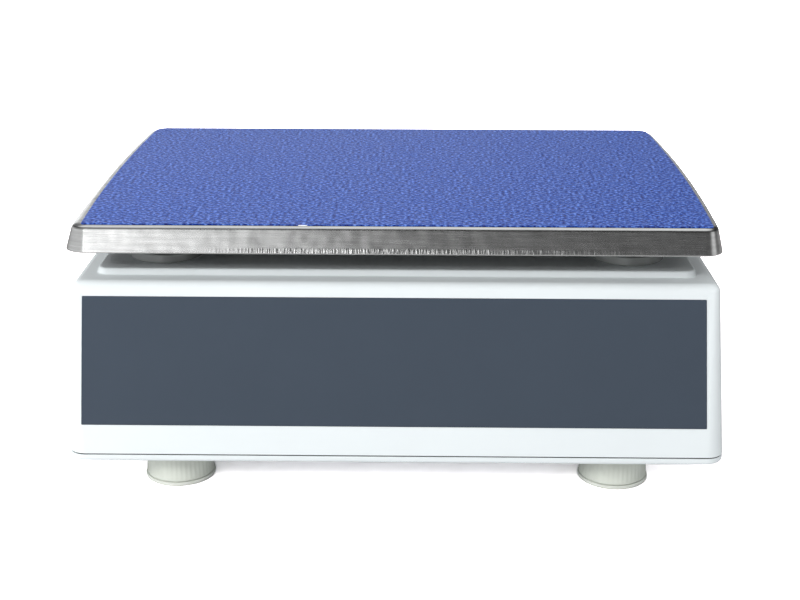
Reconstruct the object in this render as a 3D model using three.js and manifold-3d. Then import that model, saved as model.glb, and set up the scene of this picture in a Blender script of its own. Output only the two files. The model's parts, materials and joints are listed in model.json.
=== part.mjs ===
// A bench counting scale as an assembly of separate pieces, in millimetres, with +Z up.
// The plain rear face looks along -Y, the console slopes down towards the operator at +Y,
// and the four feet stand on Z = 0. X = 0 and Y = 0 are the middle of the housing's footprint.
import * as THREE from "three";
import { mergeVertices } from "three/addons/utils/BufferGeometryUtils.js";
import Module from "manifold-3d";

const wasm = await Module();
wasm.setup();

// Clearances and counts that every piece shares.
const gap = 0.3; // between pieces that rest on or lie in each other
const glueGap = 0.1; // under and around a label or a window that is stuck in
const overrun = 2; // how far a cutting shape runs past the face that it cuts
const weld = 1e-3; // corners closer than this are one corner
const cornerSteps = 5;
const smallCornerSteps = 2;
const roundSides = 24;
const smallSides = 12;

// Housing: two shells that meet at a seam.
const bodyWidth = 310;
const bodyDepth = 320;
const footClearance = 19.5; // floor to the tray's underside
const trayHeight = 3.8;
const seamGap = 0.4;
const shellHeight = 83.9; // seam to the border of the deck
const sideDraw = 7.5; // how far each side leans in over the shell's height
const faceDraw = 4.5; // the same for the rear face and the front wall
const wall = 2.5;
const deckEdgeRadius = 3.8;
const topCornerRadius = 3.5;
const seamCornerRadius = 8.5;
const trayEdgeRadius = 2.6;
const tongueWall = 1.6;
const tongueHeight = 6;

// Deck under the pan: a raised plateau with a collar round each post.
const plateauRise = 2.9;
const plateauMargin = 8.5; // each side, from the top edge of the wall
const plateauSetback = 10.3; // behind the top edge of the rear face
const deckStrip = 26; // deck left between the plateau and the console
const plateauCornerRadius = 6;
const plateauSlope = 1.2; // how far its wall leans in
const collarRadius = 16.7;
const collarTopRadius = 15.8;
const collarHeight = 3.8;
const postHoleRadius = 10.5;

// Weighing pan: a folded sheet with flared skirts and sides that bow out.
const panInset = 5; // the pan's lip inside the widest part of the housing, each side
const panBow = 3.6;
const panOverhang = 4; // rear lip ahead of the top edge of the rear face
const panFrontGap = 22.5; // front lip to the start of the console
const panGap = 23.1; // plateau to the underside of the sheet
const sheet = 1;
const skirtHeight = 12.2;
const skirtFlare = THREE.MathUtils.degToRad(12);
const bendRadius = 2;
const panCornerRadius = 7.3;
const filmThickness = 0.4;
const filmMargin = 0.8;
const bowSteps = 14;
const bendSteps = 4;

// Posts that carry the pan, on a spider that the load cell carries.
const postInsetX = 40.4; // from the pan's lip
const postInsetY = 39.8;
const postRadius = 7;
const cushionRadius = 9.5;
const cushionHeight = 11;
const cushionSocket = 7; // how deep a post sits in its cushion
const cushionChamfer = 2;
const armWidth = 18;
const armHeight = 8;
const hubWidth = 104;
const hubDepth = 56;
const spiderDrop = 8; // inner face of the plateau to the top of the spider's arms

// Load cell and the blocks at its two ends.
const cellLength = 130;
const cellWidth = 30;
const cellHeight = 22;
const cellHoleRadius = 8;
const cellHoleSpacing = 26;
const blockLength = 38;
const topBlockHeight = 9.4;
const stopRadius = 4;
const stopHeadRadius = 6.5;
const stopHeadHeight = 4;

// Steel chassis plate on the tray's floor, with a threaded bush over each foot.
const chassisMarginX = 34; // to the housing's widest part
const chassisMarginY = 16;
const chassisThickness = 2;
const chassisCornerRadius = 10;
const bushRadius = 8;
const bushHeight = 8;
const standoffRadius = 3;
const standoffHeight = 9;

// Screw feet.
const footInset = 48.25; // from the side of the seam
const footSetback = 30; // from its rear and front
const soleRadius = 17.15;
const soleHeight = 1.9;
const solePegRadius = 5;
const solePegHeight = 4;
const footRadius = 16.7;
const footTopRadius = 15.7;
const footHeadroom = 2.5; // foot to the tray's underside
const footRibs = 40;
const ribDepth = 0.35;
const studRadius = 4;
const studLength = 17;
const studHoleRadius = 5;

// Screws that hold the two shells together.
const screwInsetX = 15.5;
const screwInsetY = 16;
const bossRadius = 4.5;
const wellRadius = 6.2;
const wellHeight = 6.5;
const screwHeadRadius = 3.2;
const screwHeadHeight = 2.3;
const screwRadius = 1.5;
const screwLength = 14;
const screwHeadDepth = 1.4; // tray's underside up to the head

// Label on the rear face.
const labelTopMargin = 5.5; // to the edge of the rear face, each side
const labelBottomMargin = 7.5;
const labelHeight = 62.7;
const labelDrop = 6.8; // below the deck's border
const labelShift = -0.7;
const labelThickness = 0.6;
const labelPocket = 0.5;

// Console: a slope with three display windows and sixteen keys.
const consoleDepth = 88; // front of the footprint back to where the deck ends
const slopeFoot = 45.6; // how far the slope falls
const breakRadius = 9;
const panelMargin = 16; // to the housing's widest part, each side
const panelLength = 86;
const panelInset = 5.5; // down the slope from the deck
const panelThickness = 1.2;
const panelPocket = 1;
const panelCornerRadius = 4;
const windowSpacing = 12; // between windows
const windowMargin = 13; // to the side of the panel
const windowHeight = 20;
const windowDrop = 13; // panel's upper edge to the middle of the windows
const windowLedge = 1.6;
const windowRadius = 1.5;
const lcdMargin = 1.5; // past the window, at each end
const lcdHeight = 22;
const lcdThickness = 4;
const boardThickness = 1.6;
const boardMargin = 3;

// Keys.
const keyPitchX = 24;
const keyPitchY = 13.4;
const keyWidth = 17;
const keyHeight = 9.6;
const keyRadius = 1.8;
const keyCrown = 0.7; // how far the cap's top draws in
const keyRise = 2.4; // above the panel
const keyTravel = 0.8;
const keyFlange = 1.1;
const keyFlangeThickness = 1.1;
const keyStemRadius = 1.6;
const keyStemLength = 3.4;
const switchSize = 6;
const switchHeight = 1.9;
const firstKeyDrop = 33.5; // panel's upper edge to the first row of keys
const keyMargin = 35; // side of the panel to the middle of the outer column
const functionGap = 70; // inner column of numbers to the column of functions
const functionKeyWidth = 26;

// Level, on the strip of deck between the pan and the console.
const levelInset = 51; // from the side of the housing
const levelRadius = 7.8;
const levelFlange = 1.8;
const levelFlangeHeight = 1.2;
const levelDepth = 9;

// Power switch and mains inlet, side by side in the wall at the operator's right.
const inletSetback = 86; // its middle from the front of the footprint
const inletRise = 38; // above the seam
const inletWidth = 24.6;
const inletHeight = 16.8;
const inletWall = 1.5;
const inletDepth = 19;
const inletFlange = 2.6;
const inletFlangeThickness = 1.6;
const inletRadius = 1.2;
const pinWidth = 2;
const pinHeight = 4;
const pinLength = 15;
const pinSpacing = 14;
const pinRise = 4;
const rockerSetback = 52;
const rockerRise = 38;
const rockerHalfLength = 7.6;
const rockerHalfWidth = 4.4;
const rockerLift = 1.2; // its raised end above the wall, when level
const rockerDepth = 7;
const rockerPivotDepth = 3.5;
const rockerTilt = THREE.MathUtils.degToRad(9);
const rockerRoom = 0.7;
const frameWall = 1.1;
const frameFlange = 1.3;
const frameFlangeThickness = 1.4;
const frameDepth = 13;

// What lies inside.
const mainBoardStop = 9; // short of the middle
const mainBoardDepth = 84;
const mainBoardInset = 50; // from the side of the housing
const mainBoardRoom = 64; // from the load cell
const batteryWidth = 101;
const batteryDepth = 47;
const batteryHeight = 50;
const batteryShare = 0.5945; // of the way from the load cell to the chassis plate's rear edge
const batteryRadius = 3;
const strapThickness = 1.5;
const strapWidth = 20;
const strapFoot = 10;
const transformerWidth = 58;
const transformerDepth = 48;
const transformerHeight = 44;
const transformerInset = 64; // from the side of the housing
const transformerRoom = 76; // from the load cell
const coilMargin = 6;

// Heights and places that follow from the sizes above.
const halfWidth = bodyWidth / 2;
const halfDepth = bodyDepth / 2;
const trayTop = footClearance + trayHeight;
const seamZ = trayTop + seamGap;
const deckZ = seamZ + shellHeight;
const plateauZ = deckZ + plateauRise;
const ceilingZ = plateauZ - wall;
const sheetZ = plateauZ + panGap;
const panZ = sheetZ + sheet;
const lipZ = panZ - skirtHeight;
const floorZ = footClearance + wall;
const chassisZ = floorZ + gap;
const chassisTop = chassisZ + chassisThickness;
const faceTopY = -halfDepth + faceDraw;
const slopeStart = halfDepth - consoleDepth;
const plateauHalfWidth = halfWidth - sideDraw - plateauMargin;
const plateauEdge = slopeStart - deckStrip;
const panWidth = bodyWidth - 2 * panInset;
const panRearY = faceTopY - panOverhang;
const panDepth = slopeStart - panFrontGap - panRearY;
const panCentreY = panRearY + panDepth / 2;
const postSpacingX = panWidth - 2 * postInsetX;
const postSpacingY = panDepth - 2 * postInsetY;
const armTopZ = ceilingZ - spiderDrop;
const armZ = armTopZ - armHeight;
const cellTopZ = armZ - 2 * gap - topBlockHeight;
const cellZ = cellTopZ - cellHeight;
const cushionZ = sheetZ - gap - cushionHeight;
const sideLean = Math.atan(sideDraw / shellHeight);
const faceLean = Math.atan(faceDraw / shellHeight);
const slopeEndY = halfDepth - faceDraw * (1 - slopeFoot / shellHeight);
const slopeRun = slopeEndY - slopeStart;
const slopeAngle = Math.atan(slopeFoot / slopeRun);
const postPlaces = [-1, 1].flatMap((sy) =>
  [-1, 1].map((sx) => [(sx * postSpacingX) / 2, panCentreY + (sy * postSpacingY) / 2]),
);
const footPlaces = [-1, 1].flatMap((sy) =>
  [-1, 1].map((sx) => [sx * (halfWidth - footInset), sy * (halfDepth - footSetback)]),
);
const screwPlaces = [-1, 1].flatMap((sy) =>
  [-1, 1].map((sx) => [sx * (halfWidth - screwInsetX), sy * (halfDepth - screwInsetY)]),
);
const cornerNames = ["rear_left", "rear_right", "front_left", "front_right"];

// Materials.
const paint = (color, roughness, metalness = 0) =>
  new THREE.MeshStandardMaterial({ color, roughness, metalness });
const steel = paint(0xb4b5b4, 0.35, 1);
const film = paint(0x4460b8, 0.45);
const whitePlastic = paint(0xeef1f1, 0.45);
const slate = paint(0x4c5762, 0.5);
const footPlastic = paint(0xcfd3c8, 0.55);
const soleRubber = paint(0xdadbd2, 0.8);
const blackRubber = paint(0x23262a, 0.85);
const aluminium = paint(0xa9adb0, 0.5, 1);
const zincSteel = paint(0x9a9d9f, 0.5, 1);
const panelInk = paint(0x56616d, 0.55);
const clearWindow = paint(0xb9c4c2, 0.12);
const lcdGlass = paint(0x9aa78c, 0.3);
const circuitBoard = paint(0x2f6b45, 0.5);
const keyPlastic = paint(0xe3e6e8, 0.5);
const functionPlastic = paint(0x4673b5, 0.5);
const clearPlastic = paint(0x9fb03a, 0.2);
const blackPlastic = paint(0x1d1f22, 0.4);
const batteryCase = paint(0x33373c, 0.6);
const coreSteel = paint(0x6f5b45, 0.6, 0.4);

// A closed surface as a solid that can be joined and cut.
function solidOf(geometry) {
  const bare = new THREE.BufferGeometry();
  bare.setAttribute("position", geometry.getAttribute("position"));
  bare.setIndex(geometry.index);
  const merged = mergeVertices(bare, weld);
  return new wasm.Manifold(
    new wasm.Mesh({
      numProp: 3,
      vertProperties: merged.getAttribute("position").array,
      triVerts: new Uint32Array(merged.index.array),
    }),
  );
}

const join = (first, ...rest) => rest.reduce((sum, next) => sum.add(next), first);
const cut = (first, ...rest) => rest.reduce((left, next) => left.subtract(next), first);

// A solid back as a mesh, in its own named node.
function piece(name, solid, material, parent) {
  const { numProp, numVert, vertProperties, triVerts } = solid.getMesh();
  const corners = new Float32Array(numVert * 3);
  for (let i = 0; i < numVert; i++) {
    corners.set(vertProperties.subarray(i * numProp, i * numProp + 3), i * 3);
  }
  const indexed = new THREE.BufferGeometry();
  indexed.setAttribute("position", new THREE.BufferAttribute(corners, 3));
  indexed.setIndex(new THREE.BufferAttribute(triVerts, 1));
  const geometry = indexed.toNonIndexed();
  geometry.computeVertexNormals();
  const mesh = new THREE.Mesh(geometry, material);
  mesh.name = name;
  parent.add(mesh);
  return mesh;
}

// A box whose footprint is centred on x, y and which stands on z.
function block(sizeX, sizeY, sizeZ, x, y, z) {
  return solidOf(new THREE.BoxGeometry(sizeX, sizeY, sizeZ).translate(x, y, z + sizeZ / 2));
}

// A round bar or cone that stands on z.
function round(radius, height, x, y, z, topRadius = radius, sides = roundSides) {
  const bar = new THREE.CylinderGeometry(topRadius, radius, height, sides).rotateX(Math.PI / 2);
  return solidOf(bar.translate(x, y, z + height / 2));
}

// An outline with round corners, anticlockwise, centred on x, y.
function roundedOutline(halfX, halfY, radius, x = 0, y = 0, steps = cornerSteps) {
  const points = [];
  [[1, -1], [1, 1], [-1, 1], [-1, -1]].forEach(([sx, sy], corner) => {
    for (let step = 0; step <= steps; step++) {
      const angle = ((corner - 1 + step / steps) * Math.PI) / 2;
      points.push([
        x + sx * (halfX - radius) + radius * Math.cos(angle),
        y + sy * (halfY - radius) + radius * Math.sin(angle),
      ]);
    }
  });
  return points;
}

// An outline raised from z to z + height.
function slab(outline, z, height) {
  const shape = new THREE.Shape(outline.map(([x, y]) => new THREE.Vector2(x, y)));
  const options = { depth: height, bevelEnabled: false };
  return solidOf(new THREE.ExtrudeGeometry(shape, options).translate(0, 0, z));
}

// An outline in Y and Z carried along X over a width.
function carryAcross(outline, width) {
  const shape = new THREE.Shape(outline.map(([y, z]) => new THREE.Vector2(y, z)));
  const bar = new THREE.ExtrudeGeometry(shape, { depth: width, bevelEnabled: false });
  const turn = new THREE.Matrix4().makeBasis(
    new THREE.Vector3(0, 1, 0),
    new THREE.Vector3(0, 0, 1),
    new THREE.Vector3(1, 0, 0),
  );
  return solidOf(bar.applyMatrix4(turn).translate(-width / 2, 0, 0));
}

// Rings of equal count, each a list of [x, y] with its height, skinned from the lowest to the highest.
function stack(layers) {
  const count = layers[0].ring.length;
  const points = layers.flatMap(({ ring, z }) => ring.map(([x, y]) => [x, y, z]));
  const faces = [];
  for (let layer = 0; layer < layers.length - 1; layer++) {
    for (let i = 0; i < count; i++) {
      const a = layer * count + i;
      const b = layer * count + ((i + 1) % count);
      faces.push([a, b, b + count], [a, b + count, a + count]);
    }
  }
  [layers[0], layers.at(-1)].forEach(({ ring, z }, end) => {
    const middle = points.length;
    points.push([
      ring.reduce((sum, p) => sum + p[0], 0) / count,
      ring.reduce((sum, p) => sum + p[1], 0) / count,
      z,
    ]);
    const start = end * (layers.length - 1) * count;
    for (let i = 0; i < count; i++) {
      const pair = [start + i, start + ((i + 1) % count)];
      faces.push(end ? [middle, ...pair] : [middle, ...pair.reverse()]);
    }
  });
  const geometry = new THREE.BufferGeometry();
  geometry.setAttribute("position", new THREE.Float32BufferAttribute(points.flat(), 3));
  geometry.setIndex(faces.flat());
  return solidOf(geometry);
}

// A profile of [radius, height] turned about the Z axis at x, y. It starts and ends on the axis.
function turned(profile, x, y, sides = roundSides) {
  const points = profile.map(([r, z]) => new THREE.Vector2(r, z));
  return solidOf(new THREE.LatheGeometry(points, sides).rotateX(Math.PI / 2).translate(x, y, 0));
}

// A frame on a leaning face: x and y lie in the face, z looks out of it.
function faceFrame(x, y, z, across, up) {
  const out = new THREE.Vector3().crossVectors(across, up);
  const group = new THREE.Group();
  group.applyMatrix4(new THREE.Matrix4().makeBasis(across, up, out).setPosition(x, y, z));
  group.updateMatrixWorld(true);
  return group;
}

// A solid made in a group's frame, as it lies in the part's frame.
const outOf = (group, solid) => solid.transform(group.matrixWorld.elements);

const scale = new THREE.Group();
const consoleSlope = faceFrame(
  0,
  slopeStart,
  deckZ,
  new THREE.Vector3(-1, 0, 0),
  new THREE.Vector3(0, -Math.cos(slopeAngle), Math.sin(slopeAngle)),
);
const rearFace = faceFrame(
  labelShift,
  faceTopY,
  deckZ,
  new THREE.Vector3(1, 0, 0),
  new THREE.Vector3(0, Math.sin(faceLean), Math.cos(faceLean)),
);
// A frame on the wall at -X, with its origin a rise above the seam.
const sideFrame = (y, rise) =>
  faceFrame(
    -halfWidth + rise * Math.tan(sideLean),
    y,
    seamZ + rise,
    new THREE.Vector3(0, -1, 0),
    new THREE.Vector3(Math.sin(sideLean), 0, Math.cos(sideLean)),
  );
const inletFrame = sideFrame(halfDepth - inletSetback, inletRise);
const rockerFrame = sideFrame(halfDepth - rockerSetback, rockerRise);
scale.add(consoleSlope, rearFace, inletFrame, rockerFrame);

// Weighing pan. Its outline at an offset from the line where the sheet starts to bend.
const bendTurn = Math.PI / 2 - skirtFlare;
const bendDrop = bendRadius * (1 - Math.cos(bendTurn));
const skirtReach =
  bendRadius * Math.sin(bendTurn) + (skirtHeight - bendDrop) * Math.tan(skirtFlare);
function panOutline(offset) {
  const halfX = panWidth / 2 - panBow - skirtReach + offset;
  const halfY = panDepth / 2 - skirtReach + offset;
  const radius = panCornerRadius + offset;
  const corners = roundedOutline(halfX, halfY, radius);
  const perCorner = cornerSteps + 1;
  const side = (x, from, to) =>
    Array.from({ length: bowSteps - 1 }, (_, i) => [x, from + ((to - from) * (i + 1)) / bowSteps]);
  const straight = halfY - radius;
  const points = [
    ...corners.slice(0, perCorner),
    ...side(halfX, -straight, straight),
    ...corners.slice(perCorner, 3 * perCorner),
    ...side(-halfX, straight, -straight),
    ...corners.slice(3 * perCorner),
  ];
  return points.map(([x, y]) => [
    x + panBow * (1 - (y / halfY) ** 2) * (x / halfX),
    y + panCentreY,
  ]);
}
// The sheet's outer face, or its inner face at a depth of one sheet.
function panSkin(depth) {
  const radius = bendRadius - depth;
  const run = depth ? overrun : 0;
  const layers = [
    {
      ring: panOutline(skirtReach - depth / Math.cos(skirtFlare) + run * Math.tan(skirtFlare)),
      z: lipZ - run,
    },
  ];
  for (let step = bendSteps; step >= 0; step--) {
    const angle = (bendTurn * step) / bendSteps;
    layers.push({
      ring: panOutline(radius * Math.sin(angle)),
      z: panZ - bendRadius + radius * Math.cos(angle),
    });
  }
  return stack(layers);
}
piece("weighing_pan", cut(panSkin(0), panSkin(sheet)), steel, scale);
piece("pan_film", slab(panOutline(-filmMargin), panZ, filmThickness), film, scale);

// Housing shells. The section of the shell's outside, or of its inside at a depth of one wall.
function shellRing(z, depth, inset = 0) {
  const share = (z - seamZ) / shellHeight;
  const radius = seamCornerRadius + (topCornerRadius - seamCornerRadius) * share;
  return {
    z,
    ring: roundedOutline(
      halfWidth - sideDraw * share - depth - inset,
      halfDepth - faceDraw * share - depth - inset,
      Math.max(radius, depth) - depth / 2,
    ),
  };
}
function shellSkin(depth) {
  const low = depth ? seamZ - overrun : seamZ;
  const layers = [shellRing(low, depth)];
  for (let step = 0; step <= cornerSteps; step++) {
    const angle = (Math.PI / 2) * (step / cornerSteps);
    const radius = deckEdgeRadius - depth;
    const z = deckZ - deckEdgeRadius + radius * Math.sin(angle);
    layers.push(shellRing(z, depth, radius * (1 - Math.cos(angle))));
  }
  return stack(layers);
}
// The side view of everything under the console's slope, with both of its breaks rounded.
function underSlope(depth) {
  const across = (y, z) => [
    y - depth * Math.sin(slopeAngle),
    z - depth * Math.cos(slopeAngle),
  ];
  const far = bodyDepth;
  const topBreak = breakRadius * Math.tan(slopeAngle / 2);
  const arc = (cy, cz, radius, from, to) =>
    Array.from({ length: cornerSteps + 1 }, (_, i) => {
      const angle = from + ((to - from) * i) / cornerSteps;
      return [cy + radius * Math.sin(angle), cz + radius * Math.cos(angle)];
    });
  const wallAngle = Math.PI / 2 - faceLean;
  const footZ = deckZ - slopeFoot;
  const footBreak = breakRadius * Math.tan((wallAngle - slopeAngle) / 2);
  const footCentre = [
    slopeEndY - footBreak * Math.cos(slopeAngle) - breakRadius * Math.sin(slopeAngle),
    footZ + footBreak * Math.sin(slopeAngle) - breakRadius * Math.cos(slopeAngle),
  ];
  const footArc = arc(...footCentre, breakRadius - depth, wallAngle, slopeAngle);
  const below = [footArc[0][0] + far * Math.sin(faceLean), footArc[0][1] - far * Math.cos(faceLean)];
  return [
    [-far, below[1]],
    below,
    ...footArc,
    ...arc(slopeStart - topBreak, deckZ - breakRadius, breakRadius - depth, slopeAngle, 0),
    across(-far, deckZ + depth * (Math.cos(slopeAngle) - 1)),
  ];
}
const frontPrism = carryAcross(underSlope(0), 2 * bodyWidth);
const hollowPrism = carryAcross(underSlope(wall), 2 * bodyWidth);
const shellOutside = shellSkin(0).intersect(frontPrism);
const shellInside = shellSkin(wall).intersect(hollowPrism);

const plateauFront = faceTopY + plateauSetback;
const plateauHalfDepth = (plateauEdge - plateauFront) / 2;
const plateauY = (plateauEdge + plateauFront) / 2;
const plateauRing = (inset) =>
  roundedOutline(
    plateauHalfWidth - inset,
    plateauHalfDepth - inset,
    plateauCornerRadius - Math.min(inset, wall),
    0,
    plateauY,
  );
const plateau = stack([
  { ring: plateauRing(0), z: deckZ - wall },
  { ring: plateauRing(0), z: deckZ },
  { ring: plateauRing(plateauSlope / 4), z: plateauZ - plateauSlope },
  { ring: plateauRing(plateauSlope), z: plateauZ },
]);
const plateauHollow = slab(
  plateauRing(wall + plateauSlope),
  deckZ - 2 * wall,
  ceilingZ - deckZ + 2 * wall,
);
const collars = postPlaces.map(([x, y]) =>
  round(collarRadius, collarHeight, x, y, plateauZ, collarTopRadius),
);
const postHoles = postPlaces.map(([x, y]) =>
  round(postHoleRadius, panGap, x, y, ceilingZ - overrun),
);

// The console's pocket and openings, in its own frame: x to the operator's right, y up the slope.
const readouts = ["weight", "unit_weight", "count"];
const panelWidth = bodyWidth - 2 * panelMargin;
const windowPitch = (panelWidth - 2 * windowMargin + windowSpacing) / readouts.length;
const windowWidth = windowPitch - windowSpacing;
const lcdWidth = windowWidth + 2 * lcdMargin;
const numberColumn = panelWidth / 2 - keyMargin;
const functionColumn = numberColumn - 2 * keyPitchX - functionGap;
const panelTop = -panelInset;
const panelBottom = panelTop - panelLength;
const panelMiddle = (panelTop + panelBottom) / 2;
const windowMiddle = panelTop - windowDrop;
const windowPlaces = [-1, 0, 1].map((side) => side * windowPitch);
const windowOutline = (x, grow) =>
  roundedOutline(
    windowWidth / 2 + grow,
    windowHeight / 2 + grow,
    windowRadius + Math.max(grow, 0),
    x,
    windowMiddle,
    smallCornerSteps,
  );
const keyRows = [0, 1, 2, 3].map((row) => panelTop - firstKeyDrop - row * keyPitchY);
const keyColumns = [0, 1, 2].map((column) => numberColumn - (2 - column) * keyPitchX);
const keys = [
  ["7", "8", "9"],
  ["4", "5", "6"],
  ["1", "2", "3"],
  ["0", "point", "clear"],
].flatMap((row, i) =>
  row.map((name, j) => ({ name, x: keyColumns[j], y: keyRows[i], width: keyWidth, material: keyPlastic })),
);
["zero", "tare", "unit_weight", "sample"].forEach((name, i) => {
  keys.push({
    name,
    x: functionColumn,
    y: keyRows[i],
    width: functionKeyWidth,
    material: functionPlastic,
  });
});
const keyOutline = ({ x, y, width }, grow) =>
  roundedOutline(width / 2 + grow, keyHeight / 2 + grow, keyRadius + grow, x, y, smallCornerSteps);
const cutDepth = wall + overrun;
const panelOutline = (grow) =>
  roundedOutline(panelWidth / 2 + grow, panelLength / 2 + grow, panelCornerRadius, 0, panelMiddle);
const panelPocketCut = slab(
  panelOutline(glueGap),
  -panelPocket,
  panelPocket + overrun,
);
const windowCuts = windowPlaces.map((x) => slab(windowOutline(x, -windowLedge), -cutDepth, cutDepth));
const keyRoom = keys.map((key) => slab(keyOutline(key, keyFlange + gap), -cutDepth, cutDepth));

// Posts behind the console that carry its two boards.
const lcdTop = -wall - gap;
const lcdBottom = lcdTop - lcdThickness;
const displayBoardTop = lcdBottom - gap;
const flangeTop = -panelPocket + glueGap - gap;
const stemBottom = flangeTop - keyFlangeThickness - keyStemLength;
const switchTop = stemBottom - keyTravel - gap;
const keyBoardTop = switchTop - switchHeight;
const displayBoard = {
  width: 2 * windowPitch + lcdWidth + 4 * boardMargin,
  height: lcdHeight + boardMargin,
};
const keyBoardLeft = functionColumn - functionKeyWidth / 2 - 3 * boardMargin;
const keyBoardRight = numberColumn + keyWidth / 2 + 3 * boardMargin;
const keyBoard = {
  width: keyBoardRight - keyBoardLeft,
  height: 3 * keyPitchY + keyHeight + boardMargin,
  x: (keyBoardRight + keyBoardLeft) / 2,
  y: (keyRows[0] + keyRows[3]) / 2,
};
const boardPost = (x, y, boardTop) => {
  const length = -boardTop - gap - panelPocket - glueGap;
  return round(standoffRadius, length, x, y, boardTop + gap, standoffRadius, smallSides);
};
const displayPosts = [-1, 1].map((side) =>
  boardPost(side * (displayBoard.width / 2 - standoffRadius), windowMiddle, displayBoardTop),
);
const keyPosts = [-1, 1].map((side) =>
  boardPost(keyBoard.x + side * (keyBoard.width / 2 - standoffRadius), keyBoard.y, keyBoardTop),
);

// Screw bosses run down from the shell's roof to the wells in the tray.
const wellTop = footClearance + wellHeight;
const bosses = screwPlaces.map(([x, y]) =>
  round(bossRadius, deckZ - wellTop - gap, x, y, wellTop + gap, bossRadius, smallSides),
);
const pilotHoles = screwPlaces.map(([x, y]) =>
  round(screwRadius + gap, screwLength + overrun, x, y, wellTop, screwRadius + gap, smallSides),
);

const labelTop = -labelDrop / Math.cos(faceLean);
const labelBottom = labelTop - labelHeight;
// Half the width of the rear face at a height below the deck's border.
const faceHalfWidth = (height) => halfWidth - sideDraw * (1 + height / shellHeight);
const labelOutline = (grow) => {
  const topHalf = faceHalfWidth(labelTop) - labelTopMargin + grow;
  const bottomHalf = faceHalfWidth(labelBottom) - labelBottomMargin + grow;
  return [
    [-bottomHalf, labelBottom - grow],
    [bottomHalf, labelBottom - grow],
    [topHalf, labelTop + grow],
    [-topHalf, labelTop + grow],
  ];
};
const labelPocketCut = slab(labelOutline(glueGap), -labelPocket, labelPocket + overrun);

const inletBody = (grow) =>
  roundedOutline(
    inletWidth / 2 + inletWall + grow,
    inletHeight / 2 + inletWall + grow,
    inletRadius + inletWall,
    0,
    0,
    smallCornerSteps,
  );
const frameHalf = [rockerHalfWidth + rockerRoom + frameWall, rockerHalfLength + rockerRoom + frameWall];
const frameBody = (grow) =>
  roundedOutline(frameHalf[0] + grow, frameHalf[1] + grow, frameWall, 0, 0, smallCornerSteps);
const inletCut = slab(inletBody(gap), -2 * wall, 4 * wall);
const rockerCut = slab(frameBody(gap), -2 * wall, 4 * wall);
const levelY = (plateauEdge + slopeStart) / 2;
const levelX = halfWidth - levelInset;
const levelHole = round(levelRadius + gap, 4 * wall, levelX, levelY, deckZ - 2 * wall);

const shellWithRoof = cut(join(shellOutside, plateau), cut(shellInside, ...bosses), plateauHollow);
const upperHousing = cut(
  join(
    shellWithRoof,
    ...collars,
    ...[...displayPosts, ...keyPosts].map((post) => outOf(consoleSlope, post)),
  ),
  ...postHoles,
  ...pilotHoles,
  ...[panelPocketCut, ...windowCuts, ...keyRoom].map((shape) => outOf(consoleSlope, shape)),
  outOf(rearFace, labelPocketCut),
  outOf(inletFrame, inletCut),
  outOf(rockerFrame, rockerCut),
  levelHole,
);
piece("upper_housing", upperHousing, whitePlastic, scale);

// Lower housing: a shallow tray whose tongue stands inside the upper shell.
const trayLayers = [];
for (let step = 0; step <= cornerSteps; step++) {
  const angle = (Math.PI / 2) * (step / cornerSteps);
  trayLayers.push({
    z: footClearance + trayEdgeRadius * (1 - Math.cos(angle)),
    ring: shellRing(seamZ, 0, trayEdgeRadius * (1 - Math.sin(angle))).ring,
  });
}
trayLayers.push({ z: trayTop, ring: shellRing(seamZ, 0).ring });
const tongueOutside = shellRing(seamZ, wall, 2 * gap).ring;
const tongueInside = shellRing(seamZ, wall, 2 * gap + tongueWall).ring;
const wells = screwPlaces.map(([x, y]) => round(wellRadius, wellHeight, x, y, footClearance));
const wellBores = screwPlaces.map(([x, y]) =>
  round(
    screwHeadRadius + gap,
    screwHeadDepth + screwHeadHeight + overrun,
    x,
    y,
    footClearance - overrun,
    screwHeadRadius + gap,
    smallSides,
  ),
);
const wellHoles = screwPlaces.map(([x, y]) =>
  round(screwRadius + gap, wellHeight, x, y, footClearance + overrun, screwRadius + gap, smallSides),
);
const studHoles = footPlaces.map(([x, y]) =>
  round(studHoleRadius, 2 * wall + overrun, x, y, footClearance - wall),
);
const lowerHousing = cut(
  join(
    cut(
      join(stack(trayLayers), slab(tongueOutside, floorZ, tongueHeight)),
      slab(tongueInside, floorZ, tongueHeight + overrun),
    ),
    ...wells,
  ),
  ...wellBores,
  ...wellHoles,
  ...studHoles,
);
piece("lower_housing", lowerHousing, whitePlastic, scale);

// Four screws from below, one in each well.
screwPlaces.forEach(([x, y], i) => {
  const head = footClearance + screwHeadDepth;
  const screw = turned(
    [
      [0, head],
      [screwHeadRadius, head],
      [screwHeadRadius, head + screwHeadHeight - gap],
      [screwRadius, head + screwHeadHeight - gap],
      [screwRadius, wellTop + screwLength - gap],
      [0, wellTop + screwLength],
    ],
    x,
    y,
    smallSides,
  );
  piece("housing_screw_" + cornerNames[i], screw, zincSteel, scale);
});

piece("rear_panel", slab(labelOutline(0), -labelPocket + glueGap, labelThickness), slate, rearFace);

// Console panel, windows, displays and boards.
const panelZ = -panelPocket + glueGap;
const consolePanel = cut(
  slab(panelOutline(0), panelZ, panelThickness),
  ...[
    ...windowPlaces.map((x) => windowOutline(x, glueGap)),
    ...keys.map((key) => keyOutline(key, gap)),
  ].map((outline) => slab(outline, panelZ - overrun, panelThickness + 2 * overrun)),
);
piece("console_panel", consolePanel, panelInk, consoleSlope);
windowPlaces.forEach((x, i) => {
  const pane = slab(windowOutline(x, 0), panelZ, panelThickness);
  piece(readouts[i] + "_window", pane, clearWindow, consoleSlope);
  const glass = block(lcdWidth, lcdHeight, lcdThickness, x, windowMiddle, lcdBottom);
  piece(readouts[i] + "_lcd", glass, lcdGlass, consoleSlope);
});
piece(
  "display_board",
  block(
    displayBoard.width,
    displayBoard.height,
    boardThickness,
    0,
    windowMiddle,
    displayBoardTop - boardThickness,
  ),
  circuitBoard,
  consoleSlope,
);
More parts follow.
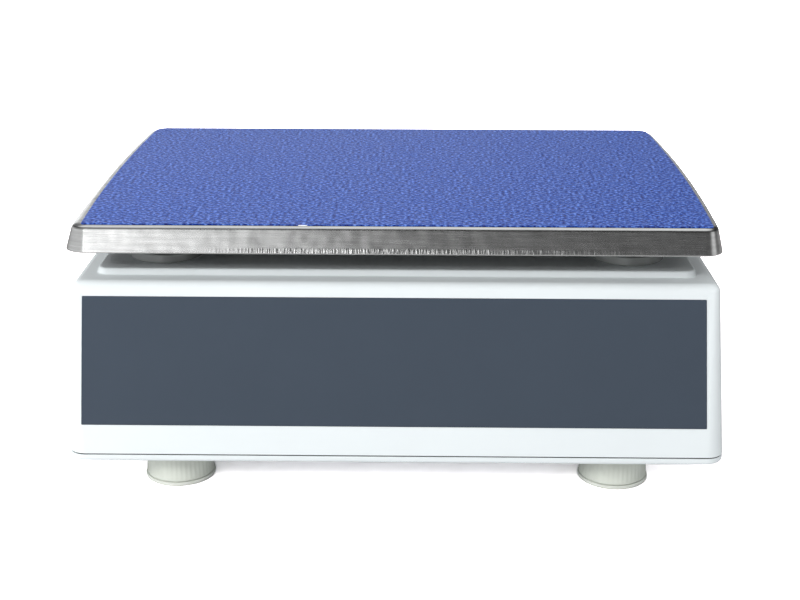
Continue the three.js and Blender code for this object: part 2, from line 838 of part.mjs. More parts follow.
const tactSwitches = keys.map(({ x, y }) =>
  block(switchSize, switchSize, switchHeight + boardThickness / 2, x, y, keyBoardTop - boardThickness / 2),
);
piece(
  "key_board",
  join(
    block(
      keyBoard.width,
      keyBoard.height,
      boardThickness,
      keyBoard.x,
      keyBoard.y,
      keyBoardTop - boardThickness,
    ),
    ...tactSwitches,
  ),
  circuitBoard,
  consoleSlope,
);

// Keys: a crowned cap with a flange behind the panel and a stem over its switch.
keys.forEach((key) => {
  const top = panelZ + panelThickness + keyRise;
  const flangeBottom = flangeTop - keyFlangeThickness;
  const cap = stack([
    { z: flangeBottom, ring: keyOutline(key, 0) },
    { z: top - keyCrown, ring: keyOutline(key, 0) },
    { z: top, ring: keyOutline(key, -keyCrown) },
  ]);
  const flange = slab(keyOutline(key, keyFlange), flangeBottom, keyFlangeThickness);
  const stem = round(
    keyStemRadius,
    keyStemLength + keyFlangeThickness,
    key.x,
    key.y,
    stemBottom,
    keyStemRadius,
    smallSides,
  );
  piece("key_" + key.name, join(cap, flange, stem), key.material, consoleSlope);
});

// Spider with its four posts, and a rubber cushion on each post.
const hub = block(hubWidth, hubDepth, armHeight, 0, panCentreY, armZ);
const arms = [-1, 1].map((side) => {
  const angle = side * Math.atan2(postSpacingY, postSpacingX);
  const length = Math.hypot(postSpacingX, postSpacingY);
  const arm = new THREE.BoxGeometry(length, armWidth, armHeight).rotateZ(angle);
  return solidOf(arm.translate(0, panCentreY, armZ + armHeight / 2));
});
const posts = postPlaces.map(([x, y]) =>
  join(
    round(armWidth / 2, armHeight, x, y, armZ),
    round(postRadius, cushionZ + cushionSocket - gap - armZ, x, y, armZ),
  ),
);
piece("pan_spider", join(hub, ...arms, ...posts), aluminium, scale);
postPlaces.forEach(([x, y], i) => {
  const cushion = cut(
    turned(
      [
        [0, cushionZ],
        [cushionRadius, cushionZ],
        [cushionRadius, cushionZ + cushionHeight - cushionChamfer],
        [cushionRadius - cushionChamfer, cushionZ + cushionHeight],
        [0, cushionZ + cushionHeight],
      ],
      x,
      y,
      smallSides,
    ),
    round(postRadius + gap, cushionSocket + overrun, x, y, cushionZ - overrun, postRadius + gap, smallSides),
  );
  piece("pan_cushion_" + cornerNames[i], cushion, blackRubber, scale);
});

// Load cell: a beam with two holes that let it bend, a block under one end and one over the other.
const blockX = (cellLength - blockLength) / 2;
const throughY = (radius, x) =>
  solidOf(
    new THREE.CylinderGeometry(radius, radius, 2 * cellWidth, roundSides).translate(
      x,
      panCentreY,
      cellZ + cellHeight / 2,
    ),
  );
const loadCell = cut(
  block(cellLength, cellWidth, cellHeight, 0, panCentreY, cellZ),
  throughY(cellHoleRadius, -cellHoleSpacing / 2),
  throughY(cellHoleRadius, cellHoleSpacing / 2),
);
piece("load_cell", loadCell, aluminium, scale);
const baseBlock = block(
  blockLength,
  cellWidth,
  cellZ - chassisTop - 2 * gap,
  -blockX,
  panCentreY,
  chassisTop + gap,
);
piece("cell_base_block", baseBlock, zincSteel, scale);
piece(
  "cell_top_block",
  block(blockLength, cellWidth, topBlockHeight, blockX, panCentreY, cellTopZ + gap),
  zincSteel,
  scale,
);
const overloadStop = turned(
  [
    [0, chassisTop + gap],
    [stopHeadRadius, chassisTop + gap],
    [stopHeadRadius, chassisTop + gap + stopHeadHeight],
    [stopRadius, chassisTop + gap + stopHeadHeight],
    [stopRadius, cellZ - gap],
    [0, cellZ - gap],
  ],
  blockX,
  panCentreY,
  smallSides,
);
piece("overload_stop", overloadStop, zincSteel, scale);

// Chassis plate with a threaded bush over each foot and standoffs under the main board.
const cellEdge = cellWidth / 2;
const mainBoardWidth = halfWidth - mainBoardInset - mainBoardStop;
const mainBoardX = -mainBoardStop - mainBoardWidth / 2;
const mainBoardY = panCentreY + cellEdge + mainBoardRoom + mainBoardDepth / 2;
const batterySide = panCentreY - cellEdge;
const batteryY = batterySide - batteryShare * (batterySide + halfDepth - chassisMarginY);
const transformerX = halfWidth - transformerInset - transformerWidth / 2;
const transformerY = panCentreY + cellEdge + transformerRoom + transformerDepth / 2;
const bushes = footPlaces.map(([x, y]) =>
  round(bushRadius, bushHeight + chassisThickness, x, y, chassisZ, bushRadius, smallSides),
);
const threads = footPlaces.map(([x, y]) =>
  round(studRadius + gap, bushHeight + chassisThickness + 2 * overrun, x, y, chassisZ - overrun),
);
const standoffs = [-1, 1].flatMap((sy) =>
  [-1, 1].map((sx) =>
    round(
      standoffRadius,
      standoffHeight + chassisThickness,
      mainBoardX + sx * (mainBoardWidth / 2 - boardMargin - standoffRadius),
      mainBoardY + sy * (mainBoardDepth / 2 - boardMargin - standoffRadius),
      chassisZ,
      standoffRadius,
      smallSides,
    ),
  ),
);
const chassis = cut(
  join(
    slab(
      roundedOutline(halfWidth - chassisMarginX, halfDepth - chassisMarginY, chassisCornerRadius),
      chassisZ,
      chassisThickness,
    ),
    ...bushes,
    ...standoffs,
  ),
  ...threads,
);
piece("chassis_plate", chassis, zincSteel, scale);

// Main board with its larger components, each a share of the board's own size.
const boardZ = chassisTop + standoffHeight + gap;
const componentShares = [
  { x: -0.28, y: 0.22, width: 0.2, depth: 0.22, height: 2.2 },
  { x: 0.05, y: 0.12, width: 0.14, depth: 0.14, height: 1.6 },
  { x: 0.33, y: 0.3, width: 0.16, depth: 0.12, height: 7 },
  { x: 0.3, y: -0.15, width: 0.12, depth: 0.2, height: 9 },
  { x: -0.2, y: -0.32, width: 0.34, depth: 0.08, height: 5 },
];
const mainBoard = join(
  block(mainBoardWidth, mainBoardDepth, boardThickness, mainBoardX, mainBoardY, boardZ),
  ...componentShares.map(({ x, y, width, depth, height }) =>
    block(
      width * mainBoardWidth,
      depth * mainBoardDepth,
      height * boardThickness,
      mainBoardX + x * mainBoardWidth,
      mainBoardY + y * mainBoardDepth,
      boardZ + boardThickness / 2,
    ),
  ),
);
piece("main_board", mainBoard, circuitBoard, scale);

// Battery, lying on the chassis under a strap.
const battery = slab(
  roundedOutline(batteryWidth / 2, batteryDepth / 2, batteryRadius, 0, batteryY),
  chassisTop + gap,
  batteryHeight,
);
piece("battery", battery, batteryCase, scale);
const strapSpan = batteryWidth / 2 + gap;
const strapTop = chassisTop + 2 * gap + batteryHeight;
const strap = cut(
  join(
    block(
      2 * (strapSpan + strapThickness),
      strapWidth,
      strapTop + strapThickness - chassisTop - gap,
      0,
      batteryY,
      chassisTop + gap,
    ),
    block(2 * (strapSpan + strapFoot), strapWidth, strapThickness, 0, batteryY, chassisTop + gap),
  ),
  block(2 * strapSpan, 2 * strapWidth, strapTop - chassisTop, 0, batteryY, chassisTop),
);
piece("battery_strap", strap, zincSteel, scale);

// Mains transformer: a laminated core round its winding.
const transformer = join(
  block(
    transformerWidth,
    transformerDepth - 2 * coilMargin,
    transformerHeight,
    transformerX,
    transformerY,
    chassisTop + gap,
  ),
  block(
    transformerWidth - 4 * coilMargin,
    transformerDepth,
    transformerHeight - 2 * coilMargin,
    transformerX,
    transformerY,
    chassisTop + gap + coilMargin,
  ),
);
piece("mains_transformer", transformer, coreSteel, scale);

// Level: a round vial whose flange rests on the deck.
const level = turned(
  [
    [0, deckZ - levelDepth],
    [levelRadius, deckZ - levelDepth],
    [levelRadius, deckZ + glueGap],
    [levelRadius + levelFlange, deckZ + glueGap],
    [levelRadius + levelFlange, deckZ + glueGap + levelFlangeHeight / 2],
    [levelRadius + levelFlange / 2, deckZ + glueGap + levelFlangeHeight],
    [0, deckZ + glueGap + levelFlangeHeight],
  ],
  levelX,
  levelY,
);
piece("level_vial", level, clearPlastic, scale);

// Mains inlet: a snap-in socket with three blades.
const pins = [
  [-pinSpacing / 2, 0],
  [pinSpacing / 2, 0],
  [0, pinRise],
].map(([x, y]) => block(pinWidth, pinHeight, pinLength + inletWall, x, y, -inletDepth - inletWall / 2));
const inlet = join(
  cut(
    join(
      slab(
        inletBody(0),
        -inletDepth - inletWall,
        inletDepth + inletWall + glueGap + inletFlangeThickness / 2,
      ),
      slab(inletBody(inletFlange), glueGap, inletFlangeThickness),
    ),
    slab(
      roundedOutline(inletWidth / 2, inletHeight / 2, inletRadius, 0, 0, smallCornerSteps),
      -inletDepth,
      inletDepth + 2 * inletFlangeThickness,
    ),
  ),
  ...pins,
);
piece("mains_inlet", inlet, blackPlastic, inletFrame);

// Power switch: a frame that snaps into the wall, and a rocker that tips in it.
const rockerFrameSolid = cut(
  join(
    slab(frameBody(0), -frameDepth, frameDepth + glueGap + frameFlangeThickness / 2),
    slab(frameBody(frameFlange), glueGap, frameFlangeThickness),
  ),
  slab(
    roundedOutline(
      rockerHalfWidth + gap,
      rockerHalfLength + rockerRoom,
      frameWall / 2,
      0,
      0,
      smallCornerSteps,
    ),
    -frameDepth + frameWall,
    frameDepth + 2 * frameFlangeThickness,
  ),
);
piece("rocker_frame", rockerFrameSolid, blackPlastic, rockerFrame);
const rockerShape = [
  [-rockerHalfLength, rockerLift],
  [-rockerHalfLength, -rockerPivotDepth],
  [-rockerHalfLength / 2, -rockerDepth],
  [rockerHalfLength / 2, -rockerDepth],
  [rockerHalfLength, -rockerPivotDepth],
  [rockerHalfLength, rockerLift],
  [0, rockerLift / 4],
];
const rockerTurn = new THREE.Matrix4()
  .makeTranslation(0, 0, -rockerPivotDepth)
  .multiply(new THREE.Matrix4().makeRotationX(rockerTilt))
  .multiply(new THREE.Matrix4().makeTranslation(0, 0, rockerPivotDepth));
const rocker = carryAcross(rockerShape, 2 * rockerHalfWidth).transform(rockerTurn.elements);
piece("power_rocker", rocker, blackPlastic, rockerFrame);

// Feet: a ribbed screw that turns on a sole, and the sole that slides up and down with it.
footPlaces.forEach(([x, y], i) => {
  const footBottom = soleHeight + gap;
  const footTop = footClearance - footHeadroom;
  const ribbed = (radius) =>
    Array.from({ length: 2 * footRibs }, (_, j) => {
      const r = radius - (j % 2) * ribDepth;
      const angle = (j * Math.PI) / footRibs;
      return [x + r * Math.cos(angle), y + r * Math.sin(angle)];
    });
  const foot = cut(
    join(
      stack([
        { z: footBottom, ring: ribbed(footRadius) },
        { z: footTop, ring: ribbed(footTopRadius) },
      ]),
      round(studRadius, studLength + gap, x, y, footTop - gap, studRadius, smallSides),
    ),
    round(solePegRadius + gap, solePegHeight + gap + overrun, x, y, footBottom - overrun - gap),
  );
  piece("foot_screw_" + cornerNames[i], foot, footPlastic, scale);
  const sole = turned(
    [
      [0, 0],
      [soleRadius, 0],
      [soleRadius, soleHeight],
      [solePegRadius, soleHeight],
      [solePegRadius, soleHeight + solePegHeight - gap],
      [0, soleHeight + solePegHeight - gap],
    ],
    x,
    y,
  );
  piece("foot_sole_" + cornerNames[i], sole, soleRubber, scale);
});

export default scale;
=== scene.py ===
# %% [markdown]
# # A bench counting scale, dressed for its portrait
# The scale weighs a batch of equal parts and works out how many there are. Its solids were made
# in a CAD kernel, and they come in here as a fixed frame: every node already has its place and
# its body. The nodes could be given materials and left as they are, but their edges are sharp
# and their faces bare. So this script models the surfaces that a viewer sees around them, and
# leaves the frame alone. All shapes are worked out in millimetres, as on a drawing, and turned
# into metres only when a mesh is made.

import json

import bmesh
import bpy
import numpy as np
from mathutils import Matrix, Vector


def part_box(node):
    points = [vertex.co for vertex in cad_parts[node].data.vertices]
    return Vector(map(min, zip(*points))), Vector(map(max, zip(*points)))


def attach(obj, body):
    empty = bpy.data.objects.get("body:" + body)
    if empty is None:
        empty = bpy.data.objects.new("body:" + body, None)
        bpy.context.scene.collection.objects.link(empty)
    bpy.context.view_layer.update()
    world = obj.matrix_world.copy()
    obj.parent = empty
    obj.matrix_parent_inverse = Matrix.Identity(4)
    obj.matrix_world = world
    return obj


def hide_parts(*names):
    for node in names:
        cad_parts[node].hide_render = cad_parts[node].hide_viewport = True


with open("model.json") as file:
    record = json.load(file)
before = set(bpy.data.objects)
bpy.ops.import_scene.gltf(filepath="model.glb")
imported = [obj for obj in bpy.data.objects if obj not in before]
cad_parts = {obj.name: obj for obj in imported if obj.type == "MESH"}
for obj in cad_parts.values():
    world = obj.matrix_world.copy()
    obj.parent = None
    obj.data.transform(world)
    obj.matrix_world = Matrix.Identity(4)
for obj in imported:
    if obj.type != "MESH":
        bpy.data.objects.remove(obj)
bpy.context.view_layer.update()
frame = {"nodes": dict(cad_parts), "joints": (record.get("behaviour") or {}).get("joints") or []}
mm = 0.001

# %% [markdown]
# ## Camera
# The photo was taken from behind the scale, a little to the right of its middle and from above.
# A camera could be moved by eye until the outlines agree. This one was solved once from the
# corners of the film, the pan, the label and the feet, because a solved camera also says how big
# one part is beside another. It is given as a place, three turns and a focal length. The roll
# comes last: it turns the level pair of axes about the line of sight.

# %% Camera
camera_place = (8.47, -753.70, 309.84)
camera_turn, camera_pitch, camera_roll = np.radians([0.629, 19.351, 0.153])
sensor_width = 36
focal_length = 62.67

forward = np.array(
    [
        -np.sin(camera_turn) * np.cos(camera_pitch),
        np.cos(camera_turn) * np.cos(camera_pitch),
        -np.sin(camera_pitch),
    ]
)
level_right = np.array([np.cos(camera_turn), np.sin(camera_turn), 0])
level_up = np.cross(level_right, forward)
right = level_right * np.cos(camera_roll) + level_up * np.sin(camera_roll)
up = level_up * np.cos(camera_roll) - level_right * np.sin(camera_roll)
camera_data = bpy.data.cameras.new("photo_camera")
camera_data.sensor_width = sensor_width
camera_data.lens = focal_length
camera = bpy.data.objects.new("photo_camera", camera_data)
axes = Matrix(np.column_stack([right, up, -forward]).tolist())
camera.matrix_world = Matrix.Translation(np.array(camera_place) * mm) @ axes.to_4x4()
bpy.context.collection.objects.link(camera)
bpy.context.scene.camera = camera
print("camera looks along", np.round(forward, 3))

# %% [markdown]
# ## Measuring the frame
# The new surfaces have to lie on the CAD nodes. Their sizes could be typed in again, but then
# they would stay behind when the model changes, so they are read off the nodes: the corners of a
# node's box, its middle, and how far the node reaches along a slanted direction.


# %% Measuring helpers
def corners(node):
    """Lowest and highest corner of a node, in millimetres."""
    low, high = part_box(node)
    return np.array(low) / mm, np.array(high) / mm


def middle(node):
    """Middle of a node's box."""
    return sum(corners(node)) / 2


def reach(node, direction):
    """Least and greatest distance of a node's points along a direction of unit length."""
    mesh = frame["nodes"][node].data
    points = np.empty(3 * len(mesh.vertices))
    mesh.vertices.foreach_get("co", points)
    along = points.reshape(-1, 3) @ np.array(direction) / mm
    return along.min(), along.max()


# %% [markdown]
# ## Driving sizes
# A moulded housing leans inwards as it rises, so that it comes out of its mould, and its edges
# are rounded. A box can't tell how far a wall leans or how round an edge is, so those few sizes
# are named here once, in millimetres. Everything that a box can tell comes from the frame.

# %% Driving sizes
shell_low, shell_high = corners("upper_housing")
tray_low, tray_high = corners("lower_housing")
pan_low, pan_high = corners("weighing_pan")
half_width, half_depth = shell_high[:2]
seam_height = shell_low[2]
seam_gap = 0.7
side_draw = 7.5
face_draw = 4.5
wall = 2.5
seam_corner = 8.5
top_corner = 3.5
deck_edge = 3.8
break_radius = 9.0
plateau_rise = 2.9
collar_height = 3.8
gap = 0.3
crease_angle = 32
plateau_height = shell_high[2] - collar_height
deck_height = plateau_height - plateau_rise
shell_height = deck_height - seam_height
glue_gap = 0.1
face_lean = np.arctan(face_draw / shell_height)
side_lean = np.arctan(side_draw / shell_height)
print("deck at", round(deck_height, 2), "seam at", round(seam_height, 2))

# %% [markdown]
# ## Surfaces from numpy
# A modeller would extrude and bevel these shapes by hand. Here every shape is a grid of points
# instead: a profile carried round an outline, or turned about an axis. A grid is worked out as
# one array, its formula can be read and changed, and its edges run where the real edges run.
# Nearly every piece of this scale is a rounded rectangle seen from above. A pattern holds which
# corner each point belongs to and which way it faces; sizes are put in afterwards, so the same
# pattern serves for the shell, the pan and a key.


# %% Outlines
def outline_pattern(corner_steps, side_shares=()):
    """Rows (share of half width, share of half depth, turn) round a rounded rectangle.

    They run anticlockwise from the corner at +x, -y. side_shares adds points on the two sides
    that look along x, at those shares of the straight part, from -1 to 1.
    """
    quarter = np.linspace(0, np.pi / 2, corner_steps + 1)
    shares = np.array(side_shares, float)

    def stretch(across, along, turn):
        return np.column_stack(np.broadcast_arrays(across, along, turn))

    return np.concatenate(
        [
            stretch(1, -1, quarter - np.pi / 2),
            stretch(1, shares, 0),
            stretch(1, 1, quarter),
            stretch(-1, 1, quarter + np.pi / 2),
            stretch(-1, shares[::-1], np.pi),
            stretch(-1, -1, quarter + np.pi),
        ]
    )


def rounded(pattern, half_x, half_y, radius):
    """Points of a rounded rectangle, where turn is the way that each of them faces.

    x = share * (half width - radius) + radius * cos(turn), and y likewise with the sine.
    """
    across, along, turn = pattern.T
    x = across * (half_x - radius) + radius * np.cos(turn)
    y = along * (half_y - radius) + radius * np.sin(turn)
    return np.stack(np.broadcast_arrays(x, y), axis=-1)


# %% [markdown]
# A profile is the section of a piece, as pairs of (offset, height). It is written with sharp
# corners, as on a sketch, and then softened with an arc at each corner. That could be left to the
# Bevel modifier, but here the arc's points are also rows of the grid, and no two arcs can run
# into each other unseen. A profile is carried round an outline, or turned about an upright axis.


# %% Profiles
def soften(points, radii, steps=5):
    """A polyline whose inner corners become arcs.

    At a corner of turn t the arc of radius r starts r * tan(t / 2) before the corner.
    """
    points = np.array(points, float)
    parts = [points[:1]]
    for before, corner, after, radius in zip(points, points[1:], points[2:], radii):
        into = (corner - before) / np.linalg.norm(corner - before)
        away = (after - corner) / np.linalg.norm(after - corner)
        turn = np.arctan2(into[0] * away[1] - into[1] * away[0], into @ away)
        start = corner - into * radius * np.tan(abs(turn) / 2)
        arm = -np.sign(turn) * radius * np.array([-into[1], into[0]])
        angle = np.linspace(0, turn, steps + 1)[:, None]
        side = np.array([-arm[1], arm[0]])
        parts.append(start - arm + np.cos(angle) * arm + np.sin(angle) * side)
    return np.concatenate(parts + [points[-1:]])


def carried(pattern, half_x, half_y, radius, profile, least=0.2):
    """Rows of points: the rounded rectangle, grown by each (offset, height) of a profile.

    Half sizes and corner radius all grow by the offset, but the radius stays above a least one.
    """
    offset, height = np.array(profile, float).T[:, :, None]
    flat = rounded(pattern, half_x + offset, half_y + offset, np.maximum(radius + offset, least))
    return np.dstack([flat, np.broadcast_to(height, flat.shape[:2])])


def turned(profile, sides, centre=(0, 0)):
    """Rows of points: each (radius, height) of a profile turned about an upright axis.

    x = centre + radius * cos(angle), y = centre + radius * sin(angle).
    """
    radius, height = np.array(profile, float).T[:, :, None]
    angle = np.linspace(0, 2 * np.pi, sides, endpoint=False)
    x = centre[0] + radius * np.cos(angle)
    y = centre[1] + radius * np.sin(angle)
    return np.dstack([x, y, np.broadcast_to(height, x.shape)])


def placed(points, place):
    """Points of a leaning frame in the part's own frame.

    point = origin + x * first axis + y * second axis + z * third axis.
    """
    origin, leaning = place
    return points @ leaning + origin


# %% [markdown]
# A mesh in Blender is a list of points and a list of faces. Each of these shapes is closed: the
# ends of its grid are capped, or joined to each other where the shape is a ring. Blender's
# modelling operators could fill the holes, but they need a selection and a mode; a list of faces
# needs neither. Cutting and joining is left to the exact Boolean modifier, because the edge where
# a round post meets a curved wall is hard to write down. Its result is kept as a plain mesh.


# %% Grids of points into closed shapes
def ring_quads(rows, sides):
    """Quads between neighbouring closed rows: point i of row j is number j * sides + i."""
    row = np.arange(rows - 1)[:, None] * sides
    side = np.arange(sides)[None, :]
    after = (side + 1) % sides
    return np.stack([row + side, row + after, row + after + sides, row + side + sides], axis=-1)


def ring_map(grid):
    """UV of each quad's corners: metres along the first row, and metres along the profile."""
    steps_around = np.linalg.norm(np.diff(grid, axis=1, append=grid[:, :1]), axis=2)[0]
    steps_down = np.median(np.linalg.norm(np.diff(grid, axis=0), axis=2), axis=1)
    around = np.concatenate([[0], steps_around.cumsum() * mm])
    down = np.concatenate([[0], steps_down.cumsum() * mm])
    u0, v0 = np.meshgrid(around[:-1], down[:-1])
    u1, v1 = np.meshgrid(around[1:], down[1:])
    return np.stack([u0, v0, u1, v0, u1, v1, u0, v1], axis=-1).reshape(-1, 2)


def solid(grid):
    """A closed surface from rows of points: quads between the rows and a face at each end."""
    rows, sides = grid.shape[:2]
    quads = ring_quads(rows, sides).reshape(-1, 4).tolist()
    ends = [list(range(sides)), list(range((rows - 1) * sides, rows * sides))]
    return grid.reshape(-1, 3), quads + ends, ring_map(grid)


def ring_solid(grid):
    """A closed ring from rows of points: as solid, but its last row is joined to its first."""
    rows, sides = grid.shape[:2]
    points, faces, surface_map = solid(grid)
    first = np.arange(sides)
    last = first + (rows - 1) * sides
    closing = np.stack([last, np.roll(last, -1), np.roll(first, -1), first], axis=-1)
    return points, faces[:-2] + closing.tolist(), surface_map


# %% [markdown]
# One object may be made of several closed shapes, such as the bars of a display. Their points go
# into one list, and each shape's faces are counted on from the points before it. Blender wants
# every face to turn its front outwards. The corners of each grid could be listed in the right
# order by hand, but bmesh finds the outside of a closed shape by itself.


# %% Shapes into objects
def add_mesh(name, shapes):
    """One object from shapes (points in millimetres, faces, map), with its faces outward."""
    points, faces, maps, start = [], [], [], 0
    for shape_points, shape_faces, shape_map in shapes:
        points.append(shape_points)
        faces += [[start + i for i in face] for face in shape_faces]
        loops = sum(len(face) for face in shape_faces)
        maps.append(np.zeros((loops, 2)))
        maps[-1][: len(shape_map)] = shape_map
        start += len(shape_points)
    mesh = bpy.data.meshes.new(name)
    mesh.from_pydata((np.concatenate(points) * mm).tolist(), [], faces)
    mesh.uv_layers.new(name="surface").data.foreach_set("uv", np.concatenate(maps).ravel())
    tidy = bmesh.new()
    tidy.from_mesh(mesh)
    bmesh.ops.recalc_face_normals(tidy, faces=tidy.faces)
    tidy.to_mesh(mesh)
    tidy.free()
    made = bpy.data.objects.new(name, mesh)
    bpy.context.collection.objects.link(made)
    return made


# %% [markdown]
# The exact Boolean is a modifier, so it would be worked out again each time something moves. Here
# it is applied: Blender is asked for the finished mesh, the piece takes that mesh, and the
# cutters are thrown away.


# %% Cut and join
def carve(piece, cutters, operation="DIFFERENCE"):
    """Cut shapes out of a piece, or join them to it with UNION, and keep the resulting mesh."""
    tools = [add_mesh(f"{piece.name}_tool_{i}", [shape]) for i, shape in enumerate(cutters)]
    for tool in tools:
        step = piece.modifiers.new("carve", "BOOLEAN")
        step.solver = "EXACT"
        step.operation = operation
        step.object = tool
    graph = bpy.context.evaluated_depsgraph_get()
    result = bpy.data.meshes.new_from_object(piece.evaluated_get(graph))
    piece.modifiers.clear()
    piece.data = result
    for tool in tools:
        bpy.data.objects.remove(tool)
    return piece


# %% [markdown]
# Every piece ends in the same way. It gets its finish, and smooth shading that stops at creases
# of more than 32 degrees. A Weighted Normal modifier lets the large faces set the shading, which
# keeps flat faces flat beside a rounded edge.


# %% Finish a piece
def finish_piece(piece, material, body, replaces=()):
    """Give a piece its material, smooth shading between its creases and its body."""
    for finish in material if isinstance(material, tuple) else (material,):
        piece.data.materials.append(finish)
    piece.data.shade_smooth()
    piece.data.set_sharp_from_angle(angle=np.radians(crease_angle))
    even = piece.modifiers.new("even shading", "WEIGHTED_NORMAL")
    even.keep_sharp = True
    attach(piece, body)
    if replaces:
        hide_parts(*replaces)
    return piece


def paint_faces(piece, slots):
    """Give each face of a piece the material whose number it has in the list."""
    piece.data.polygons.foreach_set("material_index", slots)


# %% [markdown]
# ## Materials
# Plastic, rubber and steel are told apart by how sharply they mirror and by the fine grain that
# breaks the mirror up. Photographs could be wrapped round the pieces, but here each finish is a
# Principled shader fed by noise, so it has no seams and can be looked at from any distance.
# Plain numbers sit on the shader's own sockets. Noise on Object coordinates is the grain, and a
# colour ramp over large soft noise gives the slight unevenness that a real surface has.


# %% Material helpers
def new_finish(name, colour, roughness, metallic=0.0, **plain):
    """A material with its even values set on the shader itself."""
    material = bpy.data.materials.new(name)
    material.use_nodes = True
    shader = material.node_tree.nodes["Principled BSDF"]
    values = {"Base Color": (*colour, 1), "Roughness": roughness, "Metallic": metallic}
    values.update({key.replace("_", " "): value for key, value in plain.items()})
    for key, value in values.items():
        shader.inputs[key].default_value = value
    return material


def add_node(owner, kind, inputs=None, **settings):
    """A node of a material or world, whose inputs are values or sockets to link from."""
    node = owner.node_tree.nodes.new(kind)
    for key, value in settings.items():
        setattr(node, key, value)
    for key, value in (inputs or {}).items():
        if isinstance(value, bpy.types.NodeSocket):
            owner.node_tree.links.new(value, node.inputs[key])
        else:
            node.inputs[key].default_value = value
    return node


def calculate(owner, operation, *values):
    """The result of a Math node for two or three values or sockets."""
    inputs = dict(enumerate(values))
    return add_node(owner, "ShaderNodeMath", inputs, operation=operation).outputs[0]


def ease(owner, value, start, end, low=0.0, high=1.0):
    """The result of a Map Range node: low up to start, high from end on, straight between."""
    inputs = {"Value": value, "From Min": start, "From Max": end, "To Min": low, "To Max": high}
    return add_node(owner, "ShaderNodeMapRange", inputs).outputs[0]


# %% [markdown]
# A bump changes how a surface is lit and leaves its shape alone, so it is right for a grain that
# is finer than a pixel or two. Several bumps can lie one over another, each with its own size.
# Unevenness is a slow change of colour or roughness by a few hundredths. Nobody notices it, but
# a surface without it looks computed.


# %% Grain and unevenness
def shader_input(material, key):
    """A socket of the material's Principled shader."""
    return material.node_tree.nodes["Principled BSDF"].inputs[key]


def noise(material, size, detail=2.0, stretch=(1, 1, 1), coordinates="Object", roughness=0.5):
    """Noise whose blobs are about size millimetres, stretched along each axis."""
    place = add_node(material, "ShaderNodeTexCoord")
    scale = tuple(1 / (size * mm * share) for share in stretch)
    mapping = add_node(
        material, "ShaderNodeMapping", {"Vector": place.outputs[coordinates], "Scale": scale}
    )
    inputs = {"Vector": mapping.outputs[0], "Scale": 1, "Detail": detail, "Roughness": roughness}
    return add_node(material, "ShaderNodeTexNoise", inputs).outputs["Fac"]


def add_bump(material, height, depth, strength=1.0):
    """Relief of a depth in millimetres, laid over any relief that is already there."""
    normal = shader_input(material, "Normal")
    inputs = {"Height": height, "Distance": depth * mm, "Strength": strength}
    if normal.is_linked:
        inputs["Normal"] = normal.links[0].from_socket
    bump = add_node(material, "ShaderNodeBump", inputs)
    material.node_tree.links.new(bump.outputs["Normal"], normal)


def add_ramp(material, source, key, stops):
    """Drive a socket by a ramp of (place, value), where a value is a number or a colour."""
    ramp = add_node(material, "ShaderNodeValToRGB", {"Fac": source})
    for place, value in stops[2:]:
        ramp.color_ramp.elements.new(place)
    for element, (place, value) in zip(ramp.color_ramp.elements, stops):
        element.position = place
        element.color = (*value, 1) if np.ndim(value) else (value, value, value, 1)
    material.node_tree.links.new(ramp.outputs["Color"], shader_input(material, key))


def shades(colour, spread):
    """The same colour a little darker and a little lighter."""
    return [tuple(c * (1 - spread) for c in colour), tuple(c * (1 + spread) for c in colour)]


def mottle(material, size, spread):
    """Vary the base colour softly over blobs of a size."""
    colour = tuple(shader_input(material, "Base Color").default_value[:3])
    dark, light = shades(colour, spread)
    add_ramp(material, noise(material, size), "Base Color", [(0.35, dark), (0.65, light)])


# %% [markdown]
# Most pieces here are moulded or printed plastic or rubber. These finishes differ in numbers
# only: colour, roughness, how blotchy they are and how fine their grain is. So one helper makes
# them all, and a finish is one line where it is used.


# %% Moulded finishes
def moulded(name, colour, roughness, blotch, grain=(), **plain):
    """A finish with blotches (size, spread) and, if it has one, a grain.

    The grain is given as (size, depth, strength) and, after them, how much detail it has.
    """
    finish = new_finish(name, colour, roughness, **plain)
    mottle(finish, *blotch)
    if grain:
        size, depth, strength, *detail = grain
        add_bump(finish, noise(finish, size, *detail), depth, strength)
    return finish


# %% [markdown]
# ## Housing plastic
# The two shells are cool white injection-moulded plastic. From close by it has the fine spark
# texture of its mould; from a step away it looks satin. An even white would do for the photo's
# distance, but under a close camera it would look like paper. So a bump of about half a
# millimetre gives the spark texture, and the roughness drifts a little from place to place.
# The blue of the white comes from the photo.

# %% Housing plastic
white_plastic = moulded(
    "housing_white",
    (0.78, 0.832, 0.842),
    0.42,
    blotch=(60, 0.012),
    grain=(0.45, 0.012, 0.5, 3),
    Specular_IOR_Level=0.45,
)
worn = noise(white_plastic, 25, detail=3)
add_ramp(white_plastic, worn, "Roughness", [(0.35, 0.38), (0.7, 0.47)])
print("made", white_plastic.name)

# %% [markdown]
# ## Upper housing
# The upper shell is a thin moulding that is open below. It runs from the seam up the leaning
# walls, over a rounded edge and on to the deck, and the deck breaks into the slope that faces the
# operator. A block with bevelled edges could stand in for it, but a bevel can't change its width
# along an edge. Here each point of the outline has its own fillet, worked out in the upright
# plane through its outward normal, so the rounded edge follows the slope down and widens round
# the front. The slope is measured from the frame: the keys move along its normal.

